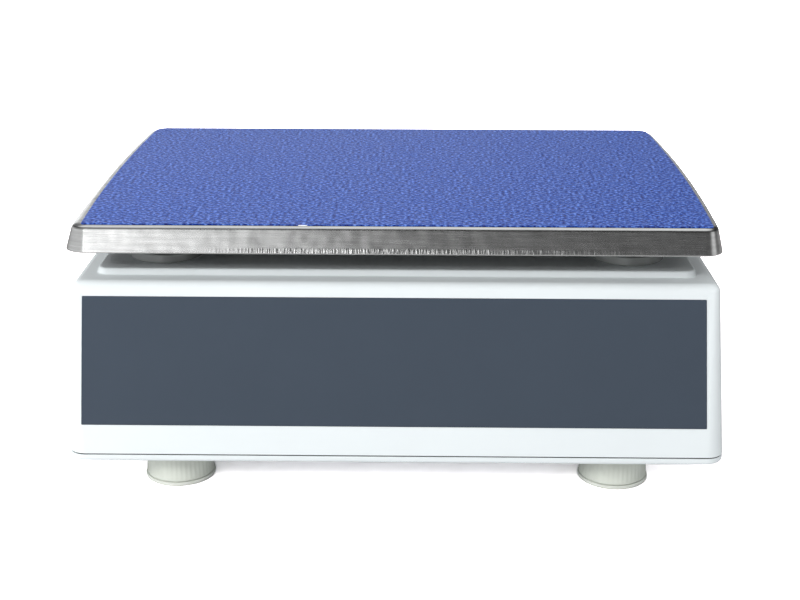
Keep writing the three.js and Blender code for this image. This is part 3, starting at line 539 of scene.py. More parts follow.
# %% Console slope from the frame
press = next(joint for joint in frame["joints"] if joint["name"] == "press_5")
slope_normal = np.array(press["axis"], float)
slope_normal /= np.linalg.norm(slope_normal)
panel_stand = 0.3
slope_distance = reach("console_panel", slope_normal)[1] - panel_stand
slope_tan = slope_normal[1] / slope_normal[2]
slope_angle = np.arctan(slope_tan)
slope_start = (slope_distance - slope_normal[2] * deck_height) / slope_normal[1]
console_axes = np.array([[-1, 0, 0], np.cross(slope_normal, [-1, 0, 0]), slope_normal])
console = (np.array([0, slope_start, deck_height]), console_axes)
print("slope starts at", round(slope_start, 2), "falls", round(np.degrees(slope_angle), 2))


# %% [markdown]
# The top of the housing is level at the rear and falls towards the front. Two planes and a bevel
# would give the same edge, but the skin has to ask for the height anywhere. So it is one function
# of y: level, then an arc that touches both planes, then the slope. The shell's inner side is the
# same function at the depth of one wall, with a tighter arc.


# %% Height of the top
def top_height(y, depth):
    """Height of deck, break and slope at y: level, then an arc, then a straight fall.

    The arc is its centre's height + the root of (radius squared - way along the arc squared).
    """
    radius = break_radius - depth
    start = slope_start - depth * np.tan(slope_angle / 2)
    arc_start = start - radius * np.tan(slope_angle / 2)
    arc_end = arc_start + radius * np.sin(slope_angle)
    deck = deck_height - depth
    along = np.clip(y - arc_start, 0, radius * np.sin(slope_angle))
    bend = deck - radius + np.sqrt(radius**2 - along**2)
    return np.where(y < arc_end, bend, deck - slope_tan * (y - start))


# %% [markdown]
# The skin goes up the wall, over the fillet and on to the top. The lean of the wall, the climb of
# the top and the fillet's radius all change round the outline. A loop could build one upright
# section after another, but arrays do it at once: one column for each point of the outline, and
# one row for each step up the profile.


# %% The shell's skin
def shell_skin(pattern, depth, steps=8):
    """Rows of the shell from the seam to the top, at a depth of no or one wall.

    In the upright plane of each outline point the wall leans in by an angle w and the top climbs
    inwards by an angle t. The fillet's centre lies R (cos t - sin w) / cos(w + t) inwards of the
    edge and R (cos w - sin t) / cos(w + t) below it.
    """
    turn = pattern[:, 2]
    level_x, level_y = half_width - depth, half_depth - depth
    corner_shrink = seam_corner - top_corner

    def flat(height, inset):
        share = (height - seam_height) / shell_height
        half_x = level_x - side_draw * share - inset
        half_y = level_y - face_draw * share - inset
        radius = seam_corner - corner_shrink * share - depth * 0.6 - inset * 0.5
        return rounded(pattern, half_x, half_y, np.maximum(radius, 0.5))

    edge_height = np.full_like(turn, deck_height)
    for _ in range(4):
        edge_height = top_height(flat(edge_height, 0)[:, 1], depth)
    cos_turn, sin_turn = np.abs(np.cos(turn)), np.abs(np.sin(turn))
    draw = side_draw * cos_turn + face_draw * sin_turn - corner_shrink * (cos_turn + sin_turn - 1)
    lean = np.arctan(draw / shell_height)
    facing = np.clip(np.sin(turn), 0, 1)
    on_slope = (flat(edge_height, 0)[:, 1] > slope_start) * 1.0
    climb = np.arctan(slope_tan * facing * on_slope)
    radius = deck_edge + (break_radius - deck_edge) * facing**2 * on_slope - depth
    radius = np.maximum(radius, 0.8)
    inwards = radius * (np.cos(climb) - np.sin(lean)) / np.cos(lean + climb)
    below = radius * (np.cos(lean) - np.sin(climb)) / np.cos(lean + climb)
    share = np.linspace(0, 1, steps + 1)[:, None]
    angle = lean + (np.pi / 2 - climb - lean) * share
    inset = inwards - radius * np.cos(angle)
    height = edge_height - below + radius * np.sin(angle)
    edge_flat = flat(edge_height, inset)
    end_miss = top_height(edge_flat[-1, :, 1], depth) - height[-1]
    height = height + end_miss * share**2
    wall_share = np.array([0, 0.004, 0.5, 0.97])[:, None]
    wall_height = seam_height + (height[0] - seam_height) * wall_share
    wall_rows = np.dstack([flat(wall_height, 0), wall_height])
    return np.concatenate([wall_rows, np.dstack([edge_flat, height])])


# %% [markdown]
# The top of the shell is a wide flat field with a bend across it. One big face would shade
# badly over the bend, and a fan of triangles would show in the gloss. The outline is the same on
# the left and the right, so each of its points is joined to its mirror image, like the rungs of
# a ladder, and the rungs are closer together at the bend.


# %% Close the shell
def mirror_rungs(pattern, start):
    """Quads across the top: point i on the right is joined to the last but i on the left."""
    sides = len(pattern)
    right_side = np.arange(sides // 2)
    left_side = sides - 1 - right_side
    a, b, c, d = right_side[:-1], right_side[1:], left_side[1:], left_side[:-1]
    return (np.stack([a, b, c, d], axis=-1) + start).tolist()


def side_shares(straight):
    """Places along the side, as shares of its half length: closer together at the break."""
    arc_start = slope_start - break_radius * np.tan(slope_angle / 2)
    arc_end = arc_start + break_radius * np.sin(slope_angle)
    back = np.linspace(-straight, arc_start - 1, 14)[1:]
    bend = np.linspace(arc_start, arc_end, 9)
    slope = np.linspace(arc_end + 1, straight, 10)[:-1]
    return np.concatenate([back, bend, slope]) / straight


def shell_shape(pattern):
    """Outer skin, inner skin, the rim between them and a ladder of quads over each top.

    The points of the inner skin follow those of the outer one, so their numbers are higher by
    the number of points in one skin.
    """
    outer, inner = shell_skin(pattern, 0), shell_skin(pattern, wall)
    rows, sides = outer.shape[:2]
    inner_start = rows * sides
    skin = ring_quads(rows, sides).reshape(-1, 4)
    faces = skin.tolist() + (skin + inner_start).tolist()
    faces += mirror_rungs(pattern, inner_start - sides)
    faces += mirror_rungs(pattern, 2 * inner_start - sides)
    first = np.arange(sides)
    after = (first + 1) % sides
    rim = [first, after, after + inner_start, first + inner_start]
    faces += np.stack(rim, axis=-1).tolist()
    points = np.concatenate([outer.reshape(-1, 3), inner.reshape(-1, 3)])
    return points, faces, np.zeros((0, 2))


shell_pattern = outline_pattern(8, side_shares(half_depth - face_draw - top_corner))
upper = add_mesh("upper_shell", [shell_shape(shell_pattern)])
print("shell", len(upper.data.polygons), "faces")

# %% [markdown]
# A raised plateau lies on the deck, so that spilt liquid runs off past it, and a round collar
# stands on it round each of the four posts. Both are part of the same moulding. They could lie
# on the deck as separate pieces, but then a line would show at their foot where the plastic is
# really one, so they are joined to the shell with a Boolean. Their profiles start below the
# deck's surface, which keeps the two surfaces from lying in one plane.

# %% Plateau and collars
corner_names = ["rear_left", "rear_right", "front_left", "front_right"]
post_places = [middle("pan_cushion_" + name)[:2] for name in corner_names]
plateau_side_margin, plateau_rear_margin, plateau_front_margin = 8.5, 10.3, 26
plateau_half_width = half_width - side_draw - plateau_side_margin
plateau_rear = -half_depth + face_draw + plateau_rear_margin
plateau_front = slope_start - plateau_front_margin
plateau_half_depth = (plateau_front - plateau_rear) / 2
plateau_middle = (plateau_front + plateau_rear) / 2
plateau_corner = 6.0
plateau_profile = soften(
    [(0.9, -1.5), (0.9, -0.02), (-0.1, 0), (-1.0, plateau_rise), (-6, plateau_rise)],
    [0.01, 0.8, 1.1],
)
plateau_rows = carried(
    outline_pattern(8), plateau_half_width, plateau_half_depth, plateau_corner, plateau_profile
) + [0, plateau_middle, deck_height]
collar_radius = 17.4
collar_profile = soften(
    [
        (collar_radius, -1),
        (collar_radius, -0.02),
        (collar_radius - 0.7, 0),
        (collar_radius - 1.5, collar_height),
        (collar_radius - 5.4, collar_height),
    ],
    [0.01, 0.35, 0.8],
)
collars = [
    solid(turned(collar_profile, 72, place) + [0, 0, plateau_height]) for place in post_places
]
carve(upper, [solid(plateau_rows)] + collars, "UNION")
print("plateau and collars joined,", len(upper.data.polygons), "faces")

# %% [markdown]
# ## Openings in the upper housing
# The shell has a hole for each post, a shallow pocket for the console with openings for windows
# and keys, a hole for the level, a recess for the label and two openings in its side wall. They
# could be left out of the grid of points, but the grid would have to be bent round each of them.
# It is simpler to cut them: each cutter has the outline of the part that sits in it, grown by a
# small clearance, so the part and its hole can't drift apart.


# %% Places on the walls
def wall_frame(node):
    """Frame of a part in the wall at -X: x to the rear, y up the wall, z out of it.

    Its origin lies on the wall's outer face, half way up the part.
    """
    out = np.array([-np.cos(side_lean), 0, np.sin(side_lean)])
    up_wall = np.array([np.sin(side_lean), 0, np.cos(side_lean)])
    y = middle(node)[1]
    low, high = reach(node, up_wall)
    foot = np.array([-half_width, y, seam_height])
    origin = foot + up_wall * ((low + high) / 2 - foot @ up_wall)
    return origin, np.array([[0, -1, 0], up_wall, out])


inlet_place = wall_frame("mains_inlet")
rocker_place = wall_frame("rocker_frame")
rear_up = np.array([0, np.sin(face_lean), np.cos(face_lean)])
rear_out = np.array([0, -np.cos(face_lean), np.sin(face_lean)])
label_shift = -0.3
label_middle = middle("rear_panel")[0] + label_shift
rear_place = (
    np.array([label_middle, -half_depth + face_draw, deck_height]),
    np.array([[1, 0, 0], rear_up, rear_out]),
)


def span(node, place):
    """Middle and half size of a node in a leaning frame, from its reach along the three axes."""
    origin, leaning = place
    ends = np.array([reach(node, axis) for axis in leaning]) - (leaning @ origin)[:, None]
    return ends.mean(axis=1), np.diff(ends, axis=1)[:, 0] / 2


print("inlet at", np.round(inlet_place[0], 1), "rocker at", np.round(rocker_place[0], 1))

# %% [markdown]
# Keys, windows and displays are square to the slope, so the console has a leaning frame too. Their
# boxes along x, y and z would be too big, because the pieces lie at an angle. Each node's middle
# and half size is measured along the console's own axes instead.

# %% Places on the console
number_key_names = [str(i) for i in range(10)] + ["point", "clear"]
function_key_names = ["zero", "tare", "unit_weight", "sample"]
key_names = number_key_names + function_key_names
readouts = ["weight", "unit_weight", "count"]
panel_middle, panel_half = span("console_panel", console)
key_spans = {name: span("key_" + name, console) for name in key_names}
window_spans = {name: span(name + "_window", console) for name in readouts}
print("panel half size", np.round(panel_half, 1))


# %% [markdown]
# A cutter has to reach past the wall on both sides, since a Boolean is unsure about a face that
# lies exactly in the surface. The windows get an opening that is narrower than they are, and its
# ledge carries them. The keys get one that is wider, because their flange moves behind the panel.

# %% Cutters in the deck and the console
small_pattern = outline_pattern(4)


def slab(half, centre, radius, low, high, place, grow=0.0, pattern=small_pattern):
    """A straight block in a leaning frame: a rounded rectangle carried from low to high."""
    sizes = half[0] + grow, half[1] + grow, radius + max(grow, 0)
    rows = carried(pattern, *sizes, [(0, low), (0, high)])
    return solid(placed(rows + [centre[0], centre[1], 0], place))


key_corner, key_flange = 1.8, 1.1
window_corner, window_ledge = 1.5, 1.6
panel_corner = 4
level_lip = 1.8
post_hole = soften([(10.5, -14), (10.5, 3.2), (11.6, 4.3), (11.6, 6)], [1.2, 0.01])
holes = [solid(turned(post_hole, 72, place) + [0, 0, plateau_height]) for place in post_places]
level_low, level_high = corners("level_vial")
level_place = middle("level_vial")[:2]
level_bore = (level_high - level_low)[0] / 2 - level_lip + gap
level_hole = turned([(level_bore, -9), (level_bore, 5)], 64, level_place) + [0, 0, deck_height]
holes.append(solid(level_hole))
holes.append(
    slab(panel_half, panel_middle, panel_corner, -1, 5, console, glue_gap, outline_pattern(8))
)
holes += [
    slab(half, centre, window_corner, -6, 0.5, console, -window_ledge)
    for centre, half in window_spans.values()
]
holes += [
    slab(half, centre, key_corner + key_flange, -6, 0.5, console, gap)
    for centre, half in key_spans.values()
]
print("cutters", len(holes))

# %% [markdown]
# The side wall has two openings with rounded corners, into which the mains inlet and the power
# switch snap. The label's recess in the rear wall is only half a millimetre deep. It could be a
# plain rectangle, but the wall becomes narrower towards the top, and so does the label. The recess
# and the label come from one function, so they fit each other.

# %% Cutters in the walls
inlet_wall, rocker_play, frame_wall = 1.5, 0.7, 1.1
inlet_half = np.array([24.6, 16.8]) / 2 + inlet_wall
rocker_half = np.array([4.4, 7.6]) + rocker_play + frame_wall
inlet_corner = 2.7
holes.append(slab(inlet_half, (0, 0), inlet_corner, -6, 6, inlet_place, gap))
holes.append(slab(rocker_half, (0, 0), frame_wall, -6, 6, rocker_place, gap))
label_low, label_high = np.array(reach("rear_panel", rear_up)) - rear_place[0] @ rear_up
label_bottom_half = (corners("rear_panel")[1] - corners("rear_panel")[0])[0] / 2
label_top_half = label_bottom_half - side_draw * (label_high - label_low) / shell_height + 1.5
label_recess = 0.5
label_corner = 0.35


def label_rows(profile, grow):
    """The label's outline for each (offset, height), narrower at its top than at its foot.

    x is multiplied by 1 - (1 - top width / foot width) * (share of the height).
    """
    offset, height = np.array(profile, float).T[:, :, None]
    centre = (label_high + label_low) / 2
    half_high = (label_high - label_low) / 2
    half_sizes = label_bottom_half + grow + offset, half_high + grow + offset
    flat = rounded(small_pattern, *half_sizes, label_corner)
    share = (flat[..., 1] + half_high) / (2 * half_high)
    narrow = 1 - (1 - label_top_half / label_bottom_half) * share
    flat = np.stack([flat[..., 0] * narrow, flat[..., 1] + centre], axis=-1)
    return placed(np.dstack([flat, np.broadcast_to(height, flat.shape[:2])]), rear_place)


recess = label_rows([(0, -label_recess), (0, 0.05), (0.12, 0.3), (0.12, 3)], glue_gap)
carve(upper, holes + [solid(recess)])
print("openings cut,", len(upper.data.polygons), "faces")

# %% [markdown]
# The collars lie in the shade under the pan and look darker than the white round them. That
# shade is painted: the collar's faces near a post and above the plateau get a second, grey
# material. A ring of its own could be laid over each to carry the grey, but its shape would only
# repeat the collar's.

# %% Collars and finish of the upper housing
# The grey paints the shade that falls on the collars under the pan.
collar_painted_shade = moulded("collar_painted_shade", (0.34, 0.36, 0.355), 0.24, (8, 0.04), (0.4, 0.01, 0.4))
finish_piece(upper, (white_plastic, collar_painted_shade), "root", ["upper_housing"])
face_middles = np.empty(3 * len(upper.data.polygons))
upper.data.polygons.foreach_get("center", face_middles)
face_middles = face_middles.reshape(-1, 3) / mm
from_posts = np.linalg.norm(face_middles[:, None, :2] - np.array(post_places), axis=2)
above_plateau = face_middles[:, 2] > plateau_height + 0.02
on_collar = (from_posts.min(axis=1) < collar_radius + 0.1) & above_plateau
paint_faces(upper, on_collar.astype(int))
print("upper housing", len(upper.data.polygons), "faces,", on_collar.sum(), "on the collars")

# %% [markdown]
# ## Lower housing
# The lower shell is a shallow tray with a rounded lower edge. The feet and the four housing
# screws go into its floor. It could be a block that is hollowed out, but its wall, its floor and
# the tongue that holds it inside the upper shell all follow one outline. So a single profile runs
# along the inside and the outside and is carried round once. The tongue also stands behind the
# seam, so that nobody looks through the gap into the housing.

# %% Tray
tray_top = seam_height - seam_gap
tray_bottom = tray_low[2]
tongue_inset = wall + 2 * gap
tongue_wall = 1.6
tray_profile = soften(
    [
        (-40, tray_bottom + 0.9),
        (-8, tray_bottom + 0.9),
        (-7, tray_bottom),
        (0, tray_bottom),
        (0, tray_top),
        (-tongue_inset, tray_top),
        (-tongue_inset, tray_high[2]),
        (-tongue_inset - tongue_wall, tray_high[2]),
        (-tongue_inset - tongue_wall, tray_bottom + wall),
        (-40, tray_bottom + wall),
    ],
    [0.4, 0.4, 1.9, 0.3, 0.3, 0.3, 0.3, 0.4],
    4,
)
tray_outline = outline_pattern(8), half_width, half_depth, seam_corner
lower = add_mesh("lower_tray", [solid(carried(*tray_outline, tray_profile, least=1.5))])
print("tray", round(tray_top - tray_bottom, 1), "high at its wall")

# %% [markdown]
# The feet screw into four bores in the tray's floor, and the housing screws come up from below
# through four wells. A well is a boss with a wide bore for the screw's head and a narrow one for
# its shank. The bosses are joined first and everything is bored afterwards, because a bore goes
# through the floor and its boss together.

# %% Screw wells and bores
foot_places = [middle("foot_sole_" + name)[:2] for name in corner_names]
screw_places = [middle("housing_screw_" + name)[:2] for name in corner_names]
well = [(6.2, tray_bottom + 0.4), (6.2, tray_bottom + 6.5)]
carve(lower, [solid(turned(well, 32, place)) for place in screw_places], "UNION")
foot_bore = soften(
    [(7.0, 15), (7.0, tray_bottom), (5.2, tray_bottom + 1.2), (5.2, 40)], [0.01, 0.5]
)
head_bore = [(3.5, 15), (3.5, tray_bottom + 3.7)]
shank_bore = [(1.8, 15), (1.8, 40)]
bores = [solid(turned(foot_bore, 40, place)) for place in foot_places]
for place in screw_places:
    bores += [solid(turned(head_bore, 24, place)), solid(turned(shank_bore, 16, place))]
carve(lower, bores)
finish_piece(lower, white_plastic, "root", ["lower_housing"])
print("tray", len(lower.data.polygons), "faces")

# %% [markdown]
# ## Seam shade strip
# A fine dark line of shade runs between the two shells. The empty gap would do for that line, but
# it turns grey where the light reaches its back. So the shade is painted with a strip of black
# rubber, pressed into the gap and set half a millimetre back, which stays dark from every side. It
# is the tray's outline once more, closed into a ring.

# %% Seam shade strip
strip_inside, strip_outside, strip_play = -2.4, -0.45, 0.04
shade_strip_profile = [
    (strip_inside, strip_play),
    (strip_outside, strip_play),
    (strip_outside, seam_gap - strip_play),
    (strip_inside, seam_gap - strip_play),
]
shade_strip_rows = carried(*tray_outline, shade_strip_profile, least=1.5) + [0, 0, tray_top]
shade_strip = add_mesh("seam_shade_strip", [ring_solid(shade_strip_rows)])
# Black that paints the shade in the seam.
seam_shade_black = moulded(
    "seam_shade_black", (0.012, 0.012, 0.013), 0.8, (6, 0.1), (0.3, 0.02, 0.5), Specular_IOR_Level=0.2
)
finish_piece(shade_strip, seam_shade_black, "root")
print("shade_strip", round(seam_gap - 2 * strip_play, 2), "thick")

# %% [markdown]
# ## Rear label
# A thin slate-grey plate is let into the rear wall and stands a little proud of it. A patch of
# colour on the wall would look the same from far off, but the edge of a real plate catches a fine
# line of light. So it is a mesh of its own, and its outline is a little narrower at the top, as
# the wall is. It is bare. A very soft grain and an uneven gloss keep it from looking painted on.

# %% Rear label
slate = moulded(
    "slate_label",
    (0.0525, 0.0695, 0.095),
    0.5,
    blotch=(40, 0.012),
    grain=(0.3, 0.006, 0.5),
    Specular_IOR_Level=0.25,
)
rubbed = noise(slate, 18, detail=3)
add_ramp(slate, rubbed, "Roughness", [(0.35, 0.42), (0.7, 0.52)])
label_thickness = 0.6
label_profile = soften(
    [(-3, 0), (0, 0), (0, label_thickness), (-3, label_thickness)], [0.05, 0.12], 3
)
label_face = reach("rear_panel", rear_out)[1] - rear_place[0] @ rear_out
label_profile[:, 1] += label_face - label_thickness
label = add_mesh("slate_plate", [solid(label_rows(label_profile, 0))])
finish_piece(label, slate, "root", ["rear_panel"])
print("label", round(2 * label_bottom_half, 1), "by", round(label_high - label_low, 1))

# %% [markdown]
# ## Weighing pan
# The pan is one sheet of stainless steel, folded down on all four sides into a skirt that flares
# outwards. It could be a box without its lower face, with bevelled edges and a Solidify modifier.
# But its sides bow out a little and its front corners are rounder than its rear ones, so the
# sheet's own section, with the bend and the rounded lip, is carried round an outline that has all
# of that. The rear left corner is bent out by a few millimetres, as if it had been dropped once.

# %% Pan sizes and outline
sheet_thickness = 1.0
pan_bow = 3.6
pan_corners = (4.4, 8.8)
ear_left, ear_right = 3.4, 0.9
bend_radius = 2.0
skirt_flare = np.radians(12)
pan_top, lip_height = pan_high[2], pan_low[2]
pan_middle = (pan_low + pan_high)[1] / 2
bend_turn = np.pi / 2 - skirt_flare
bend_drop = bend_radius * (1 - np.cos(bend_turn))
skirt_drop = pan_top - lip_height - bend_drop
skirt_reach = bend_radius * np.sin(bend_turn) + skirt_drop * np.tan(skirt_flare)
pan_half = (pan_high - pan_low)[:2] / 2 - [pan_bow + skirt_reach, skirt_reach]
pan_pattern = outline_pattern(10, np.linspace(-1, 1, 33)[1:-1])


def pan_rows(profile, corner_radii=pan_corners):
    """The pan's outline for each (offset, height): a rounded rectangle with bowed sides.

    The sides bow out by bow * (1 - (y / half depth) squared) * x / half width. The corner radius
    grows evenly from the rear corners to the front ones. The two rear corners are bent out by
    ear * spread * (share of the way to the rear) squared, where spread grows to 0.6 over the
    bend and to 1 at the lip.
    """
    offset, height = np.array(profile, float).T[:, :, None]
    half_x, half_y = pan_half[0] + offset, pan_half[1] + offset
    towards_front = (pan_pattern[:, 1] + 1) / 2
    radius = corner_radii[0] + (corner_radii[1] - corner_radii[0]) * towards_front
    flat = rounded(pan_pattern, half_x, half_y, np.maximum(radius + offset, 0.6))
    share_x, share_y = flat[..., 0] / half_x, flat[..., 1] / half_y
    drop = np.clip((pan_top - height) / (pan_top - lip_height), 0, 1)
    spread = 0.6 * np.clip(offset / bend_radius, 0, 1) + 0.4 * drop
    ear = np.where(share_x < 0, ear_left, ear_right) * spread * np.clip(-share_y, 0, 1) ** 2
    bowed = flat[..., 0] + pan_bow * (1 - share_y**2) * share_x + ear * share_x**9
    return np.dstack([bowed, flat[..., 1] + pan_middle, np.broadcast_to(height, flat.shape[:2])])


print("pan's flat top", np.round(2 * pan_half, 1), "with a bow of", pan_bow)


# %% [markdown]
# The section follows the sheet: over the flat top, round the bend, down the skirt, round the lip
# and back up on the inside. A Solidify modifier would need only half of it, but it can't round the
# lip. A row of points stands close to each end of the straight skirt, so that the soft shading of
# bend and lip doesn't spread over it.


# %% The pan's section
def bend_arc(radius):
    """An arc of the bend: x = radius * sin(angle), height = centre + radius * cos(angle)."""
    angle = np.linspace(0, bend_turn, 8)
    centre_height = pan_top - bend_radius
    return np.column_stack([radius * np.sin(angle), centre_height + radius * np.cos(angle)])


lip_half = sheet_thickness / 2
outer_bend = bend_arc(bend_radius)
inner_bend = bend_arc(bend_radius - sheet_thickness)
skirt_down = np.array([np.sin(skirt_flare), -np.cos(skirt_flare)])
skirt_in = np.array([-np.cos(skirt_flare), -np.sin(skirt_flare)])
skirt_length = (skirt_drop - lip_half) / np.cos(skirt_flare)
lip_start = outer_bend[-1] + skirt_down * skirt_length
lip_turn = np.linspace(0, np.pi, 9)[:, None]
lip_arc = (
    lip_start
    + skirt_in * lip_half * (1 - np.cos(lip_turn))
    + skirt_down * lip_half * np.sin(lip_turn)
)
near_lip = [outer_bend[-1] + skirt_down * skirt_length * share for share in (0.04, 0.5, 0.96)]
far_lip = [inner_bend[-1] + skirt_down * skirt_length * share for share in (0.96, 0.04)]
top_rows = [(-3, pan_top), (-0.6, pan_top)]
under_rows = [(-0.6, pan_top - sheet_thickness), (-3, pan_top - sheet_thickness)]
pan_profile = np.concatenate(
    [top_rows, outer_bend, near_lip, lip_arc, far_lip, inner_bend[::-1], under_rows]
)
pan_surface = add_mesh("steel_pan", [solid(pan_rows(pan_profile))])
print("skirt", round(skirt_length, 1), "long,", len(pan_surface.data.polygons), "faces")

# %% [markdown]
# The skirt is brushed along its length. The Principled shader could stretch its highlight with
# its Anisotropic value, but that alone shows no single marks. Here the marks are noise, stretched
# a hundredfold along the edge. It is read from the pan's own map, where one direction follows the
# edge and the other runs down the skirt, so the marks turn the corners with the sheet.

# %% Brushed steel
brushed = new_finish("brushed_steel", (0.9, 0.9, 0.89), 0.2, 1.0)
marks = noise(brushed, 0.22, detail=3, stretch=(120, 1, 1), coordinates="UV", roughness=0.7)
broad = noise(brushed, 1.5, detail=3, stretch=(22, 1, 1), coordinates="UV")
add_ramp(brushed, marks, "Roughness", [(0.25, 0.15), (0.75, 0.30)])
add_ramp(brushed, broad, "Base Color", [(0.25, (0.80, 0.80, 0.79)), (0.75, (0.98, 0.98, 0.97))])
add_bump(brushed, marks, 0.004, 0.6)
print("brushed steel,", len(brushed.node_tree.nodes), "nodes")

# %% [markdown]
# Just above the lip there is a row of fine nicks from the folding tool. In the mesh they would
# need thousands of small faces, so they are a bump: noise that is stretched down the skirt, times
# a mask. The mask is full within a millimetre of the lip and fades out towards both ends of the
# skirt. A second, slow bump makes reflections wander a little, as they do in thin sheet.

# %% Nicks above the lip
pan_lengths = np.linalg.norm(np.diff(pan_profile, axis=0), axis=1).cumsum() * mm
lip_place = pan_lengths[len(outer_bend) + len(near_lip)]
nicks_start, nicks_full = lip_place - 1.9 * mm, lip_place - 1.0 * mm
skirt_place = add_node(brushed, "ShaderNodeTexCoord")
down_skirt = add_node(brushed, "ShaderNodeSeparateXYZ", {"Vector": skirt_place.outputs["UV"]})
near_edge = ease(brushed, down_skirt.outputs["Y"], nicks_start, nicks_full)
along_skirt = add_node(brushed, "ShaderNodeSeparateXYZ", {"Vector": skirt_place.outputs["Object"]})
left_fade = ease(brushed, along_skirt.outputs["X"], -0.088, -0.04)
right_fade = ease(brushed, along_skirt.outputs["X"], 0.02, 0.12, 1.0, 0.2)
nick_mask = calculate(brushed, "MULTIPLY", left_fade, right_fade)
nick_mask = calculate(brushed, "MULTIPLY", nick_mask, near_edge)
nick_grain = noise(brushed, 0.9, detail=1, stretch=(1, 7, 1), coordinates="UV")
nicks = calculate(brushed, "SUBTRACT", nick_grain, 0.5)
nicks = calculate(brushed, "MULTIPLY", nicks, nick_mask)
add_bump(brushed, nicks, 0.28)
add_bump(brushed, noise(brushed, 10, detail=1, coordinates="UV"), 0.2)
print("nicks begin", round((lip_place - nicks_start) / mm, 1), "above the lip")

# %% [markdown]
# Under the pan the sheet is not brushed but dull, and its dark grey paints the shade that lies
# there. With one finish for both sides, the underside would mirror the bright deck. The faces are
# in the order of the profile, so those after the middle of the lip are the underside, and they get
# a second material. The two large end faces, which are the flat top and its underside, come last
# in the list.

# %% Underside of the pan
# A dark grey steel that paints the shade under the pan.
shaded_underside = new_finish("underside_painted_shade", (0.20, 0.20, 0.20), 0.55, 1.0)
add_bump(shaded_underside, noise(shaded_underside, 0.6, detail=3), 0.02, 0.5)
add_ramp(shaded_underside, noise(shaded_underside, 9, detail=3), "Roughness", [(0.3, 0.48), (0.7, 0.62)])
finish_piece(pan_surface, (brushed, shaded_underside), "pan", ["weighing_pan"])
lip_middle_row = len(outer_bend) + len(near_lip) + 5
underside = np.zeros(len(pan_surface.data.polygons), int)
underside[lip_middle_row * len(pan_pattern) :] = 1
underside[-2:] = [0, 1]
paint_faces(pan_surface, underside)
print("pan,", underside.sum(), "faces on the underside")

# %% [markdown]
# ## Protective film
# The flat top is still under the blue film that it was delivered with. The film could be a colour
# on the steel, but it has an edge of its own that stops just short of the bend and bows a little
# less than the pan. So it is a thin sheet of its own, made from the pan's outline.

# %% Film sheet
film_low, film_high = corners("pan_film")
film_margin = 0.4
film_shift = 0.3
film_straighter = 0.7
film_corners = (1.6, 6.5)
film_profile = soften(
    [
        (-30, film_low[2]),
        (-film_margin, film_low[2]),
        (-film_margin, film_high[2]),
        (-30, film_high[2]),
    ],
    [0.08, 0.25],
    3,
)
film_rows = pan_rows(film_profile, film_corners) + [film_shift, 0, 0]
depth_share = (film_rows[..., 1] - pan_middle) / pan_half[1]
film_rows[..., 0] -= film_straighter * (1 - depth_share**2) * film_rows[..., 0] / pan_half[0]
film = add_mesh("film_sheet", [solid(film_rows)])
print("film", np.round(film_high - film_low, 1))

# %% [markdown]
# The film is soft plastic with an orange-peel emboss, whose blobs are a little more than a
# millimetre wide. The emboss could be modelled, but that would take a million faces. Three bumps
# lie over one another instead: the peel, a finer peel, and a wave as wide as a thumb where the
# film lies loosely. The peel's noise also paints the colour: a highlight on the blobs and shade in
# the valleys.

# %% Film finish
film_blue = new_finish(
    "film_blue",
    (0.045, 0.09, 0.42),
    0.32,
    Specular_IOR_Level=0.12,
    Specular_Tint=(0.42, 0.56, 1.0, 1.0),
)
# Painted shade in the peel's valleys and a painted highlight on its blobs.
valley_shade_blue = (0.001, 0.013, 0.17)
flank_blue = (0.024, 0.085, 0.42)
blob_highlight_blue = (0.155, 0.29, 0.80)
peel = noise(film_blue, 1.25, stretch=(1.3, 1, 1))
fine_peel = noise(film_blue, 0.8, detail=1)
add_bump(film_blue, peel, 1.1)
add_bump(film_blue, fine_peel, 0.12, 0.8)
add_bump(film_blue, noise(film_blue, 38, detail=1), 0.5)
add_ramp(
    film_blue, peel, "Base Color", [(0.38, valley_shade_blue), (0.52, flank_blue), (0.64, blob_highlight_blue)]
)
finish_piece(film, film_blue, "pan", ["pan_film"])
print("film finish,", len(film_blue.node_tree.nodes), "nodes")

# %% [markdown]
# At the rear edge a small fleck of the film's pale backing has torn up. Dirt and damage are often
# painted in, but this has a thickness that catches the light. It is an uneven patch, a few tenths
# of a millimetre thick, that lies over the bend and sinks towards its outer end.

# %% Torn fleck of the film's backing
fleck_length = 2.2
fleck_place = (-41.5, film_rows[..., 1].min() + 0.15)
fleck_turn = np.linspace(0, 2 * np.pi, 40, endpoint=False)


def fleck_row(shrink, lift):
    """One closed row round the fleck, at every angle a.

    x = length * cos a * (1 + 0.25 sin 2a) and y = sin a + 0.2 cos 3a, both times shrink. The
    height sinks by 0.12 (1 - y) squared towards the rear.
    """
    ripple = 1 + 0.25 * np.sin(2 * fleck_turn)
    across = fleck_length * np.cos(fleck_turn) * ripple * shrink
    inward = (np.sin(fleck_turn) + 0.2 * np.cos(3 * fleck_turn)) * shrink
    height = film_high[2] - 0.16 - 0.12 * (1 - inward) ** 2 + lift
    return np.column_stack([across + fleck_place[0], inward + fleck_place[1], height])


fleck_steps = [(0.2, 0), (0.6, 0), (1, 0.01), (1, 0.08), (0.9, 0.12), (0.5, 0.13), (0.2, 0.13)]
fleck = add_mesh("film_fleck", [solid(np.stack([fleck_row(*step) for step in fleck_steps]))])
film_backing = moulded("film_backing", (0.9, 0.92, 0.96), 0.5, (1.2, 0.04), (0.5, 0.05, 0.5))
finish_piece(fleck, film_backing, "pan")
print("fleck at", np.round(fleck_place, 1))

# %% [markdown]
# ## Spider and posts
# A cast aluminium spider sits on the free end of the load cell, and four machined posts rise from
# it and carry the pan. Little of it is seen, in the dark gap under the pan, but it shows as soon
# as the pan is lifted off. Hub, arms and posts are simple carried and turned shapes. They are
# joined by a Boolean, because in a casting they run into each other.

